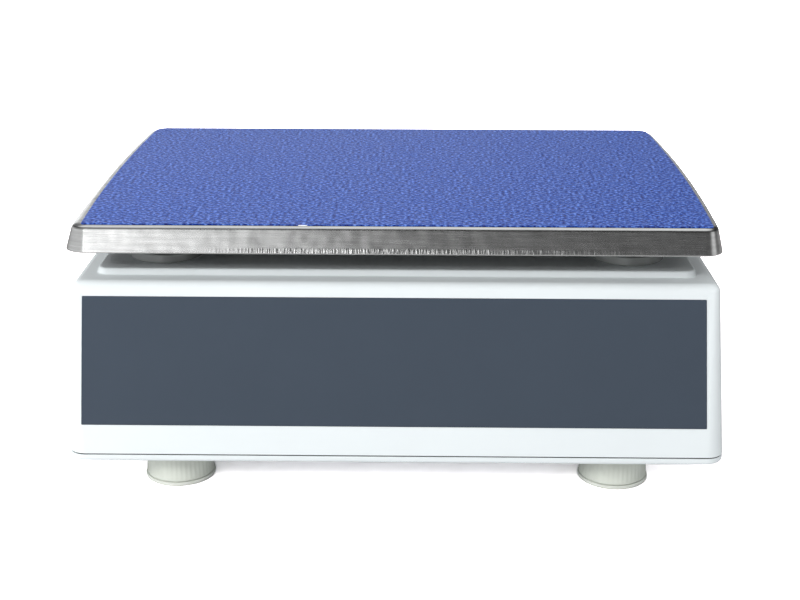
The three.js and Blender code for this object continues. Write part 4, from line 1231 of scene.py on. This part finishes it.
# %% Spider and posts
cast = new_finish("cast_aluminium", (0.50, 0.51, 0.52), 0.42, 1.0)
add_bump(cast, noise(cast, 0.9, detail=3), 0.05, 0.6)
add_ramp(cast, noise(cast, 6, detail=3), "Roughness", [(0.3, 0.36), (0.7, 0.52)])
spider_low, spider_high = corners("pan_spider")
post_radius = 7.0
arm_height, arm_half, arm_corner = 8.0, 9.0, 4
hub_half_width, hub_half_depth, hub_corner = 52, 28, 8
post_top = spider_high[2] - spider_low[2]
arm_profile = soften([(-4, 0), (0, 0), (-0.8, arm_height), (-4, arm_height)], [1, 1.4], 3)
post_profile = soften(
    [
        (3, 0),
        (8.9, 0),
        (8.2, arm_height),
        (post_radius, arm_height + 1),
        (post_radius, post_top),
        (3, post_top),
    ],
    [1, 1, 0.8, 0.8],
    3,
)
spider_middle = np.array([0, pan_middle, spider_low[2]])
arm_pattern = outline_pattern(6)
hub_rows = carried(arm_pattern, hub_half_width, hub_half_depth, hub_corner, arm_profile)
spider = add_mesh("cast_spider", [solid(hub_rows + spider_middle)])
print("hub", 2 * hub_half_width, "by", 2 * hub_half_depth)

# %% [markdown]
# Each arm runs from one post to the post at the opposite corner, so it is turned about the
# upright axis by the angle of that diagonal. One arm lies a hair higher than the other, because
# the Boolean is safest when no two surfaces share a plane.

# %% Arms of the spider
diagonal = np.array(post_places[3]) - np.array(post_places[0])
arms = []
for side in (-1, 1):
    angle = side * np.arctan2(diagonal[1], diagonal[0])
    along = [np.cos(angle), np.sin(angle), 0]
    across = [-np.sin(angle), np.cos(angle), 0]
    arm = carried(arm_pattern, np.hypot(*diagonal) / 2, arm_half, arm_corner, arm_profile)
    arm_place = (spider_middle, np.array([along, across, [0, 0, 1]]))
    arms.append(solid(placed(arm + [0, 0, 0.02 * side], arm_place)))
arms += [solid(turned(post_profile, 48, place) + [0, 0, spider_low[2]]) for place in post_places]
carve(spider, arms, "UNION")
finish_piece(spider, cast, "spider", ["pan_spider"])
print("spider", len(spider.data.polygons), "faces")

# %% [markdown]
# ## Rubber cushions
# A black rubber cap sits on each post, so that the pan doesn't ring and can't slide. It is turned
# from a section that follows its hollow, its foot, a groove and its rounded top. The bump is very
# fine, and the finish is rougher than the plastic's, because rubber hardly mirrors anything.

# %% Rubber cushions
rubber = moulded("black_rubber", (0.022, 0.022, 0.024), 0.62, (5, 0.12), (0.25, 0.02, 0.5))
cushion_radius = 9.5
groove_radius = cushion_radius - 0.9
for name, place in zip(corner_names, post_places):
    low, high = corners("pan_cushion_" + name)
    height = high[2] - low[2]
    section = soften(
        [
            (2, 7),
            (post_radius + gap, 7),
            (post_radius + gap, 0),
            (cushion_radius, 0),
            (cushion_radius, 3.6),
            (groove_radius, 4.4),
            (groove_radius, 5.2),
            (cushion_radius, 6),
            (cushion_radius, height - 1.6),
            (cushion_radius - 2, height),
            (2, height),
        ],
        [0.3, 0.3, 0.5, 0.3, 0.2, 0.2, 0.3, 0.6, 0.6],
        2,
    )
    rows = turned(section, 40, place) + [0, 0, low[2]]
    cushion = add_mesh("cushion_" + name, [solid(rows)])
    finish_piece(cushion, rubber, "spider", ["pan_cushion_" + name])
print("cushion", round(height, 1), "high")

# %% [markdown]
# ## Feet
# Each foot is a screw with a ribbed knob that stands on a soft round sole, and turning it levels
# the scale. Both are pale and greenish: the knob is satin plastic and the sole is duller rubber.
# One material could serve for both, but the small difference of gloss is what tells them apart.

# %% Foot materials
foot_plastic = moulded("foot_plastic", (0.67, 0.70, 0.63), 0.40, (12, 0.03), (0.4, 0.012, 0.5))
sole_rubber = moulded("sole_rubber", (0.72, 0.74, 0.68), 0.5, (8, 0.03), (0.3, 0.02, 0.5))
rib_count = 44
rib_depth = 0.13
stud_radius = 4.0
thread_pitch = 1.25
thread_depth = 0.35
print("ribs", rib_count)

# %% [markdown]
# The ribs give the fingers a hold. They could be one rib that an Array modifier repeats. But they
# are only a ripple of the radius, so a turned shape with enough sides can carry them. The ripple
# fades out towards the knob's rounded ends, as it does on a moulded part.


# %% Ribs of the knob
def ribbed(grid, centre, heights):
    """Push the knob's rows in between its ribs, fully at mid height, not at all at the ends.

    New radius = radius - depth * fade * sin(n * angle / 2) squared.
    """
    low, high = heights
    angle = np.arctan2(grid[..., 1] - centre[1], grid[..., 0] - centre[0])
    share = np.clip((grid[..., 2] - low) / (high - low), 0, 1)
    fade = np.clip(np.minimum(share, 1 - share) * 8, 0, 1)
    radius = np.hypot(grid[..., 0] - centre[0], grid[..., 1] - centre[1])
    fade = fade * (radius > stud_radius * 2)
    factor = 1 - rib_depth * fade * np.sin(rib_count * angle / 2) ** 2 / np.maximum(radius, 1)
    grid = grid.copy()
    grid[..., :2] = centre + (grid[..., :2] - centre) * factor[..., None]
    return grid


# %% [markdown]
# The knob turns and the sole stands still, so they are two pieces on two bodies. The thread of the
# stud is drawn as rings. A true thread climbs round its stud and needs a mesh that winds up with
# it; at a pitch of 1.25 millimetres, half hidden in its bore, rings look the same.

# %% Feet and soles
knob_top = tray_bottom - 2.5
for name, place in zip(corner_names, foot_places):
    low, high = corners("foot_screw_" + name)
    knob = soften(
        [(5.6, low[2]), (16.6, low[2]), (15.7, knob_top), (stud_radius, knob_top)], [0.5, 0.9], 4
    )
    knob = np.concatenate([knob[:6], np.linspace(knob[5], knob[6], 8)[1:-1], knob[6:]])
    threads = np.arange(knob_top + 0.8, high[2] - 1.2, thread_pitch / 2)
    thread_radius = stud_radius - thread_depth * (np.arange(len(threads)) % 2)
    stud = np.column_stack([thread_radius, threads])
    stud_end = [(stud_radius - 0.8, high[2]), (1.5, high[2])]
    section = np.concatenate([[(5.6, low[2] + 3.8)], knob, stud, stud_end])
    rows = turned(section, rib_count * 6, place)
    foot = add_mesh("foot_" + name, [solid(ribbed(rows, place, (low[2], knob_top)))])
    finish_piece(foot, foot_plastic, "foot_" + name, ["foot_screw_" + name])
    sole_low, sole_high = corners("foot_sole_" + name)
    sole_half = (sole_high - sole_low)[0] / 2
    sole = soften(
        [
            (3, 0.5),
            (9, 0.5),
            (10, 0),
            (sole_half, 0),
            (sole_half, 1.9),
            (5, 1.9),
            (5, 5.6),
            (2, 5.6),
        ],
        [0.2, 0.2, 0.5, 0.6, 0.2, 0.4],
        3,
    )
    pad = add_mesh("sole_" + name, [solid(turned(sole, 96, place))])
    finish_piece(pad, sole_rubber, "sole_" + name, ["foot_sole_" + name])
print("feet at", np.round(foot_places, 1).tolist())

# %% [markdown]
# ## Console panel and windows
# A thin textured overlay covers the console's pocket, with openings for the windows and the keys.
# It could be printed on the shell, but then the windows would have no edge to lie in. So it is a
# sheet of its own that lies a tenth of a millimetre inside the pocket's wall, and every opening
# is cut with the outline of the piece that fills it.

# %% Console overlay
overlay = moulded("console_overlay", (0.085, 0.112, 0.142), 0.5, (30, 0.05), (0.35, 0.03, 0.6))
panel_low = panel_middle[2] - panel_half[2]
panel_high = panel_middle[2] + panel_half[2]
panel_profile = soften(
    [(-3.5, panel_low), (0, panel_low), (0, panel_high), (-3.5, panel_high)], [0.1, 0.3], 3
)
panel_rows = carried(outline_pattern(8), *panel_half[:2], panel_corner, panel_profile)
panel = add_mesh("overlay_panel", [solid(placed(panel_rows + [0, panel_middle[1], 0], console))])
below_panel, above_panel = panel_low - 1, panel_high + 1
panel_holes = [
    slab(half, centre, window_corner, below_panel, above_panel, console, glue_gap)
    for centre, half in window_spans.values()
]
panel_holes += [
    slab(half - key_flange, centre, key_corner, below_panel, above_panel, console, gap)
    for centre, half in key_spans.values()
]
carve(panel, panel_holes)
finish_piece(panel, overlay, "root", ["console_panel"])
print("console panel", np.round(2 * panel_half, 1))

# %% [markdown]
# Each window is a clear acrylic pane with a dark border printed on its back, which hides the edge
# of the display. Clear plastic needs full transmission and its real index of refraction, 1.49. A
# slow, faint bump bends the reflections a little, because a sawn pane is never quite flat. The
# border is a second material on the rim of the back and on the pane's side.

# %% Windows
clear = new_finish("clear_window", (0.92, 0.95, 0.95), 0.06, Transmission_Weight=0.95, IOR=1.49)
add_bump(clear, noise(clear, 30, detail=1), 0.05, 0.3)
border_ink = moulded("window_border_ink", (0.02, 0.024, 0.03), 0.4, (3, 0.06))
border_width = 2.2
border_rows = 5
for name, (centre, half) in window_spans.items():
    low, high = centre[2] - half[2], centre[2] + half[2]
    edge = soften([(-border_width, low), (0, low), (0, high), (-1.2, high)], [0.08, 0.25], 3)
    rows = carried(small_pattern, *half[:2], window_corner, edge, 0.3)
    window = add_mesh(name + "_pane", [solid(placed(rows + [centre[0], centre[1], 0], console))])
    finish_piece(window, (clear, border_ink), "root", [name + "_window"])
    printed = np.zeros(len(window.data.polygons), int)
    printed[: border_rows * len(small_pattern)] = 1
    paint_faces(window, printed)
print("windows", len(window_spans))

# %% [markdown]
# ## Displays
# Behind each window lies a grey-green liquid crystal module. It is switched off, so its figures
# of seven segments show only as faint darker bars. They could be a picture on the glass, but a
# picture would be tied to one size. Here each bar is a strip of a fifth of a millimetre, and all
# strips of a module share its object.

# %% Liquid crystal modules
glass = moulded("lcd_glass", (0.30, 0.34, 0.25), 0.22, (9, 0.03), (0.5, 0.004, 0.3))
segment_ink = moulded("lcd_segments", (0.10, 0.12, 0.085), 0.3, (3, 0.05))
bar_long, bar_wide, bar_reach = 4.4, 0.95, 2.75
digits, digit_pitch = 6, 10.6
segments = [
    (0, 2, False),
    (0, 0, False),
    (0, -2, False),
    (-1, 1, True),
    (1, 1, True),
    (-1, -1, True),
    (1, -1, True),
]
for name in readouts:
    centre, half = span(name + "_lcd", console)
    low, high = centre[2] - half[2], centre[2] + half[2]
    edge = soften([(-2, low), (0, low), (0, high - 0.08), (-2, high - 0.08)], [0.2, 0.3], 3)
    module_rows = carried(small_pattern, *half[:2], 0.6, edge) + [centre[0], centre[1], 0]
    shapes = [solid(placed(module_rows, console))]
    strip = [(0, high - 0.2), (0, high)]
    for digit in range(digits):
        left = centre[0] + (digit - (digits - 1) / 2) * digit_pitch
        for across, along, upright in segments:
            sizes = (bar_wide, bar_long) if upright else (bar_long, bar_wide)
            bar = carried(
                outline_pattern(1), sizes[0] / 2, sizes[1] / 2, bar_wide / 2 * 0.98, strip, 0.1
            )
            shift = [left + across * bar_reach, centre[1] + along * bar_reach, 0]
            shapes.append(solid(placed(bar + shift, console)))
    lcd = add_mesh(name + "_display", shapes)
    finish_piece(lcd, (glass, segment_ink), "root", [name + "_lcd"])
    inked = np.ones(len(lcd.data.polygons), int)
    inked[: len(shapes[0][1])] = 0
    paint_faces(lcd, inked)
print("displays", len(readouts), "with", len(shapes) - 1, "segments each")

# %% [markdown]
# ## Keys
# Each key is a moulded cap with a dished top, a flange that keeps it behind the panel and a stem
# that presses the switch. A dish could be carved with a sphere, but a real one is shallow and
# follows the cap's outline, so the last rows of the cap's profile sink inwards. Number keys are
# pale grey with dark figures, function keys blue with pale ones.

# %% Key materials
key_grey = moulded("key_grey", (0.66, 0.69, 0.71), 0.42, (20, 0.015), (0.35, 0.012, 0.5))
key_blue = moulded("key_blue", (0.075, 0.18, 0.43), 0.42, (20, 0.03), (0.35, 0.012, 0.5))
dark_ink = moulded("key_ink", (0.02, 0.025, 0.03), 0.5, (2, 0.08))
pale_ink = moulded("key_pale_ink", (0.8, 0.82, 0.84), 0.5, (2, 0.02))
print("key finishes", key_grey.name, key_blue.name)


# %% [markdown]
# The figures could be drawn by a texture, but up close a texture blurs. They are set in plain type
# and made into thin meshes that stand a tenth of a millimetre out of the dish. The mesh of a text
# has open seams between its front, its sides and its back, and merging the points that lie in one
# place closes them. The four function keys have generic signs.


# %% Figures
def figure_shape(text, size, centre, height):
    """Plain figures as a thin closed mesh on the console.

    Point = the text's point + (centre x, centre y, height), then placed in the console's frame.
    """
    curve = bpy.data.curves.new("figure", "FONT")
    curve.body = text
    curve.size = size
    curve.align_x = "CENTER"
    curve.align_y = "CENTER"
    curve.extrude = 0.07
    curve.offset = 0.1
    holder = bpy.data.objects.new("figure", curve)
    bpy.context.collection.objects.link(holder)
    graph = bpy.context.evaluated_depsgraph_get()
    mesh = bpy.data.meshes.new_from_object(holder.evaluated_get(graph))
    merged = bmesh.new()
    merged.from_mesh(mesh)
    bmesh.ops.remove_doubles(merged, verts=merged.verts, dist=1e-5)
    merged.to_mesh(mesh)
    merged.free()
    points = np.empty(3 * len(mesh.vertices))
    mesh.vertices.foreach_get("co", points)
    points = points.reshape(-1, 3) + [centre[0], centre[1], height]
    faces = [list(face.vertices) for face in mesh.polygons]
    bpy.data.objects.remove(holder)
    return placed(points, console), faces, np.zeros((0, 2))


key_figures = {name: name for name in "0123456789"}
key_figures.update(point=".", clear="C", zero=">0<", tare=">T<", unit_weight="g/1", sample="x10")
print("figures", " ".join(key_figures.values()))

# %% [markdown]
# Cap, flange and stem are one moulding. They could simply stand in each other, but then faces
# would lie hidden inside the key, so a Boolean joins them. Every key rides a body of its own,
# because it is pressed by itself, and its figure rides the same body.

# %% Key caps
key_sides = outline_pattern(5)
dish = 0.3
flange_thickness = 1.1
flange_bottom = -1 + glue_gap - gap - flange_thickness
flange_profile = [(0, flange_bottom), (0, flange_bottom + flange_thickness)]
for name, (centre, half) in key_spans.items():
    low, high = centre[2] - half[2], centre[2] + half[2]
    edge = soften(
        [(0, flange_bottom), (0, high - 0.08), (-1.5, high), (-2.3, high - dish * 0.8)],
        [0.8, 0.4],
        4,
    )
    bowl = [(-2.7, high - dish * 0.96), (-3.1, high - dish)]
    cap_profile = np.concatenate([edge, bowl])
    cap = carried(key_sides, *(half[:2] - key_flange), key_corner, cap_profile)
    flange = carried(key_sides, *half[:2], key_corner + key_flange, flange_profile)
    stem = turned([(1.6, low), (1.6, flange_bottom + 0.5)], 24)
    cap, flange, stem = [
        solid(placed(rows + [centre[0], centre[1], 0], console)) for rows in (cap, flange, stem)
    ]
    key = add_mesh("cap_" + name, [cap])
    carve(key, [flange, stem], "UNION")
    function = name in function_key_names
    finish_piece(key, key_blue if function else key_grey, "key_" + name, ["key_" + name])
    type_size = 4.6 if function else 5.6
    figure = figure_shape(key_figures[name], type_size, centre, high - dish + 0.06)
    mark = add_mesh("figure_" + name, [figure])
    finish_piece(mark, pale_ink if function else dark_ink, "key_" + name)
print("keys", len(key_spans))

# %% [markdown]
# ## Level
# A round level beside the console shows whether the scale stands upright: a dark cup with green
# liquid in it and a bubble under its top. A real one is glass in front of liquid, but nested clear
# layers cost much time and add nothing at this size. So the cup, the liquid and the bubble are
# three closed pieces, glossy and opaque, that lie one over another.

# %% Sections of the level
liquid = moulded("level_liquid", (0.42, 0.62, 0.05), 0.12, (6, 0.06))
bubble_air = moulded("level_bubble", (0.75, 0.85, 0.45), 0.08, (2, 0.05))
level_ring = moulded("level_ring", (0.02, 0.02, 0.02), 0.4, (2, 0.05))
cup_radius = 7.8
vial_height = level_high[2] - level_low[2]
cup = soften(
    [
        (2, 0),
        (cup_radius, 0),
        (cup_radius, vial_height - 1.2),
        (cup_radius + level_lip, vial_height - 1.2),
        (cup_radius + level_lip, vial_height - 0.5),
        (8.7, vial_height - 0.3),
        (7.2, vial_height - 0.3),
        (7.2, vial_height - 0.75),
        (2, vial_height - 0.75),
    ],
    [0.4, 0.05, 0.1, 0.2, 0.3, 0.05, 0.05],
    3,
)
liquid_disc = soften(
    [
        (2, vial_height - 0.74),
        (7.1, vial_height - 0.74),
        (7.1, vial_height - 0.55),
        (6.6, vial_height - 0.4),
        (2, vial_height - 0.3),
    ],
    [0.02, 0.05, 0.1],
    3,
)
bubble = soften(
    [
        (0.4, vial_height - 0.3),
        (1.9, vial_height - 0.3),
        (1.5, vial_height - 0.14),
        (0.4, vial_height - 0.1),
    ],
    [0.05, 0.1],
    3,
)
print("level", round(vial_height, 1), "high")

# %% [markdown]
# The cup and the liquid are turned about the axis of the vial. The bubble could be cut into the
# liquid, but only its top is ever seen, so it simply lies on it. It sits a little off the middle,
# as it does on a bench that isn't quite level.

# %% Level
level_foot = [0, 0, level_low[2]]
bubble_place = level_place + [0.4, 0.3]
vial = add_mesh("level_cup", [solid(turned(cup, 64, level_place) + level_foot)])
finish_piece(vial, level_ring, "root", ["level_vial"])
liquid_piece = add_mesh("level_liquid", [solid(turned(liquid_disc, 64, level_place) + level_foot)])
finish_piece(liquid_piece, liquid, "root")
bubble_piece = add_mesh("level_bubble", [solid(turned(bubble, 40, bubble_place) + level_foot)])
finish_piece(bubble_piece, bubble_air, "root")
print("level at", np.round(level_place, 1))

# %% [markdown]
# ## Mains inlet
# The inlet snaps into the side wall: a flanged socket with three blades in it. Its profile runs
# from the closed bottom up the inside, over the rounded flange and back, so a single carried
# shape has the whole depth that a plug needs. A dark rectangle would look right only from afar.
# The blades are plated metal, with the fine grain of drawn strip along them.

# %% Mains inlet
black = moulded("black_plastic", (0.016, 0.016, 0.018), 0.38, (8, 0.1), (0.3, 0.015, 0.5))
blade_metal = new_finish("blade_metal", (0.62, 0.60, 0.56), 0.3, 1.0)
add_bump(blade_metal, noise(blade_metal, 0.4, stretch=(6, 6, 1)), 0.01, 0.4)
inlet_depth = 19.0
inlet_flange = 2.6
socket_profile = soften(
    [
        (-5, -inlet_depth - 1.5),
        (0, -inlet_depth - 1.5),
        (0, 0.1),
        (inlet_flange, 0.1),
        (inlet_flange, 1.7),
        (-inlet_wall, 1.7),
        (-inlet_wall, -inlet_depth),
        (-5, -inlet_depth),
    ],
    [0.5, 0.05, 0.2, 0.6, 0.35, 0.2],
    3,
)
wall_pattern = outline_pattern(5)
socket_rows = carried(wall_pattern, *inlet_half, inlet_corner, socket_profile, least=0.5)
inlet = add_mesh("inlet_socket", [solid(placed(socket_rows, inlet_place))])
finish_piece(inlet, black, "root", ["mains_inlet"])
blade_profile = soften(
    [(-0.5, -inlet_depth - 0.4), (0, -inlet_depth - 0.4), (0, -4.8), (-0.5, -4.2)], [0.01, 0.4], 3
)
blade_rows = carried(outline_pattern(3), 1, 2, 0.3, blade_profile, least=0.1)
blade_places = [(-7, 0, 0), (7, 0, 0), (0, 4, 0)]
blades = [solid(placed(blade_rows + list(place), inlet_place)) for place in blade_places]
blade_piece = add_mesh("inlet_blades", blades)
finish_piece(blade_piece, blade_metal, "root")
print("inlet with", len(blades), "blades")

# %% [markdown]
# ## Power switch
# The switch is a frame and a rocker that tips in it. The frame is one more carried profile, and
# since its last row meets its first, it is a ring that needs no ends.

# %% Switch frame
frame_profile = soften(
    [
        (-frame_wall, -13),
        (0, -13),
        (0, 0.1),
        (1.3, 0.1),
        (1.3, 1.5),
        (-frame_wall, 1.5),
    ],
    [0.3, 0.05, 0.2, 0.5],
    3,
)
frame_rows = carried(wall_pattern, *rocker_half, frame_wall, frame_profile, least=0.4)
switch_frame = add_mesh("switch_frame", [ring_solid(placed(frame_rows, rocker_place))])
finish_piece(switch_frame, black, "root", ["rocker_frame"])
print("switch frame", len(frame_rows), "rows")

# %% [markdown]
# The rocker could be modelled anew, but the CAD model already has its two tilted flats exactly.
# Its mesh is copied. It comes as triangles with doubled points along every edge, so the points are
# merged, and triangles within one degree of a plane are joined. Then the Bevel modifier finds
# only real edges, and rounds them.

# %% Rocker from its CAD node
rocker_mesh = frame["nodes"]["power_rocker"].data.copy()
weld = bmesh.new()
weld.from_mesh(rocker_mesh)
bmesh.ops.remove_doubles(weld, verts=weld.verts, dist=1e-6)
bmesh.ops.dissolve_limit(weld, angle_limit=np.radians(1), verts=weld.verts, edges=weld.edges)
bmesh.ops.recalc_face_normals(weld, faces=weld.faces)
weld.to_mesh(rocker_mesh)
weld.free()
rocker_mesh.materials.clear()
rocker = bpy.data.objects.new("rocker_cap", rocker_mesh)
bpy.context.collection.objects.link(rocker)
round_off = rocker.modifiers.new("rounded edges", "BEVEL")
round_off.width = 0.4 * mm
round_off.segments = 3
round_off.limit_method = "ANGLE"
finish_piece(rocker, black, "rocker", ["power_rocker"])
print("rocker", len(rocker_mesh.polygons), "faces")

# %% [markdown]
# ## Pieces that stay as the CAD made them
# Nobody sees the inside of a closed housing, so the chassis, the boards, the battery, the
# transformer and the load cell keep their CAD meshes. They still get finishes of their own,
# because a viewer may hide the housing: zinc-plated steel with the cloudy bloom of its plating,
# green boards, a dark battery case, and a core whose bump and colour follow its thin sheets.

# %% Finishes for the inner pieces
zinc = new_finish("zinc_steel", (0.48, 0.48, 0.46), 0.36, 1.0)
dark_zinc, light_zinc = (0.42, 0.42, 0.39), (0.55, 0.54, 0.50)
add_bump(zinc, noise(zinc, 0.5, detail=3), 0.02, 0.5)
add_ramp(zinc, noise(zinc, 7, detail=4), "Base Color", [(0.3, dark_zinc), (0.7, light_zinc)])
board_green = moulded("board_green", (0.03, 0.17, 0.08), 0.35, (2.4, 0.25), (1.2, 0.03, 0.5, 3))
battery_case = moulded("battery_case", (0.03, 0.034, 0.04), 0.5, (10, 0.1), (0.4, 0.02, 0.5))
core = new_finish("laminated_core", (0.16, 0.11, 0.07), 0.45, 0.4)
dark_core, light_core = (0.10, 0.07, 0.05), (0.22, 0.16, 0.10)
add_bump(core, noise(core, 0.5, stretch=(40, 1, 40)), 0.06, 0.8)
sheets = noise(core, 0.5, stretch=(40, 1, 40))
add_ramp(core, sheets, "Base Color", [(0.3, dark_core), (0.7, light_core)])
inner_finishes = {
    zinc: ["cell_base_block", "cell_top_block", "overload_stop", "chassis_plate", "battery_strap"]
    + ["housing_screw_" + name for name in corner_names],
    board_green: ["display_board", "key_board", "main_board"],
    battery_case: ["battery"],
    core: ["mains_transformer"],
    cast: ["load_cell"],
}
for finish, names in inner_finishes.items():
    for name in names:
        mesh = frame["nodes"][name].data
        mesh.materials.clear()
        mesh.materials.append(finish)
print("inner pieces", sum(len(names) for names in inner_finishes.values()))

# %% [markdown]
# ## Floor
# The photo has the scale on plain white with almost no horizon. A real white floor would throw
# much light up under the tray and into the steel. So this floor shows three different colours:
# very bright to the camera, which leaves only the soft shadows visible, a plain pale grey to
# light that bounces, and a darker grey in mirrors. The Light Path node tells them apart.

# %% Floor
floor_radius = 3000
floor_sides = 64
floor_mesh = bpy.data.meshes.new("studio_floor")
floor_points = turned([(floor_radius, 0)], floor_sides)[0] * mm
floor_mesh.from_pydata(floor_points.tolist(), [], [list(range(floor_sides))])
floor = bpy.data.objects.new("studio_floor", floor_mesh)
bpy.context.collection.objects.link(floor)
floor_paint = new_finish("floor_paint", (0.8, 0.8, 0.8), 0.9, Specular_IOR_Level=0.0)


def switch_colour(ray, otherwise, colour):
    """A colour for one kind of ray, and another colour or socket for all the rest."""
    inputs = {"Factor": light_path.outputs[ray], 6: otherwise, 7: (*colour, 1)}
    return add_node(floor_paint, "ShaderNodeMix", inputs, data_type="RGBA").outputs[2]


light_path = add_node(floor_paint, "ShaderNodeLightPath")
to_camera = switch_colour("Is Camera Ray", (0.78, 0.78, 0.79, 1), (3.45, 3.25, 3.28))
to_mirrors = switch_colour("Is Glossy Ray", to_camera, (0.32, 0.32, 0.32))
floor_paint.node_tree.links.new(to_mirrors, shader_input(floor_paint, "Base Color"))
floor_mesh.materials.append(floor_paint)
print("floor laid")

# %% [markdown]
# ## Surround
# Steel shows what is round it, so a studio puts white and black cards about a shiny object. The
# cards could be planes with lamps behind them; here they are painted on the world. A colour ramp
# is read by the compass angle of a ray. A bright card stands a little to the left of the camera
# and a dark one to the right of it, and that shades the skirt from left to right. Above the cards
# the light fades, and overhead it is even again.

# %% Cards round the scale
world = bpy.data.worlds.new("studio")
bpy.context.scene.world = world
world.use_nodes = True
world.node_tree.nodes.clear()
direction = add_node(world, "ShaderNodeTexCoord").outputs["Generated"]
split = add_node(world, "ShaderNodeSeparateXYZ", {"Vector": direction})
rearwards = calculate(world, "MULTIPLY", split.outputs["Y"], -1.0)
compass = calculate(world, "ARCTAN2", split.outputs["X"], rearwards)
compass_share = calculate(world, "MULTIPLY_ADD", compass, 1 / (2 * np.pi), 0.5)
cards = add_node(world, "ShaderNodeValToRGB", {"Fac": compass_share})
card_stops = [
    (0.0, 1.0),
    (0.07, 1.0),
    (0.12, 0.40),
    (0.36, 0.50),
    (0.435, 0.50),
    (0.451, 0.92),
    (0.462, 1.0),
    (0.474, 0.95),
    (0.491, 0.10),
    (0.525, 0.055),
    (0.62, 0.053),
    (0.655, 0.5),
    (0.70, 0.5),
    (0.73, 0.06),
    (0.93, 0.10),
    (0.985, 0.8),
    (1.0, 1.0),
]
for place, value in card_stops[2:]:
    cards.color_ramp.elements.new(place)
for element, (place, value) in zip(cards.color_ramp.elements, card_stops):
    element.position = place
    element.color = (value, value, value, 1)
card_edge = ease(world, split.outputs["Z"], 0.15, 0.3, 1.18, 0.2)
card_light = calculate(world, "MULTIPLY", cards.outputs[0], card_edge)
overhead = ease(world, split.outputs["Z"], 0.68, 0.9)
overhead_light = 0.72
mirrored_light = add_node(
    world, "ShaderNodeMix", {0: overhead, 2: card_light, 3: overhead_light}, data_type="FLOAT"
)
print("cards", len(card_stops), "stops")

# %% [markdown]
# The cards are meant for mirrors only. The camera and rays through glass see plain white, which
# is the photo's background. Everything else is lit by a soft sky that is brighter above the
# horizon, so that the upright walls are a little darker than the top. Three Background nodes give
# these three answers, and two Mix Shader nodes choose among them by the kind of ray.

# %% One surround for each kind of ray
reflected = add_node(
    world,
    "ShaderNodeBackground",
    {"Strength": mirrored_light.outputs[0], "Color": (0.98, 0.99, 1.0, 1)},
)
seen = add_node(world, "ShaderNodeBackground", {"Strength": 1.0, "Color": (1, 1, 1, 1)})
open_sky = ease(world, split.outputs["Z"], 0.10, 0.30, 0.31, 0.78)
lighting = add_node(
    world, "ShaderNodeBackground", {"Strength": open_sky, "Color": (0.99, 0.99, 1.0, 1)}
)
path = add_node(world, "ShaderNodeLightPath")
with_gloss = add_node(
    world,
    "ShaderNodeMixShader",
    {0: path.outputs["Is Glossy Ray"], 1: lighting.outputs[0], 2: reflected.outputs[0]},
)
clear_rays = calculate(
    world, "MAXIMUM", path.outputs["Is Camera Ray"], path.outputs["Is Transmission Ray"]
)
whole = add_node(
    world, "ShaderNodeMixShader", {0: clear_rays, 1: with_gloss.outputs[0], 2: seen.outputs[0]}
)
add_node(world, "ShaderNodeOutputWorld", {"Surface": whole.outputs[0]})
print("surround", len(world.node_tree.nodes), "nodes")

# %% [markdown]
# ## Lamps
# In the photo the light is even, with soft edges to every shade. One small lamp would draw hard
# shadows, so each lamp is an area lamp. The key lamp stands high on the camera's left, a low one
# beside the scale lights what is under the pan, a faint one far behind the camera touches the
# skirt, and a wide one hangs overhead. Only the faint one may show in mirrors, because square
# lamps in the steel would give away the studio.


# %% Lamps
def soft_lamp(name, place, target, size, power):
    """A square area lamp, in millimetres and watts, turned towards a point."""
    data = bpy.data.lights.new(name, "AREA")
    data.size = size * mm
    data.energy = power
    lamp = bpy.data.objects.new(name, data)
    gaze = np.array(target, float) - place
    back = -gaze / np.linalg.norm(gaze)
    side = np.cross([0, 0, 1], back)
    side /= np.linalg.norm(side)
    lamp_axes = Matrix(np.column_stack([side, np.cross(back, side), back]).tolist())
    lamp.matrix_world = Matrix.Translation(np.array(place) * mm) @ lamp_axes.to_4x4()
    bpy.context.collection.objects.link(lamp)
    return lamp


key_lamp = soft_lamp("key_lamp", (-850, -1165, 850), (0, -150, 100), 380, 13.1)
low_lamp = soft_lamp("low_lamp", (-1650, -560, 200), (0, -150, 40), 300, 4.2)
soft_lamp("skirt_lamp", (-860, -2390, 312), (-140, -157, 128), 260, 0.4)
top_lamp = soft_lamp("top_lamp", (0, 150, 1900), (0, 0, 60), 1300, 6)
for lamp in (key_lamp, low_lamp, top_lamp):
    lamp.visible_glossy = False
bpy.context.scene.view_settings.view_transform = "Standard"
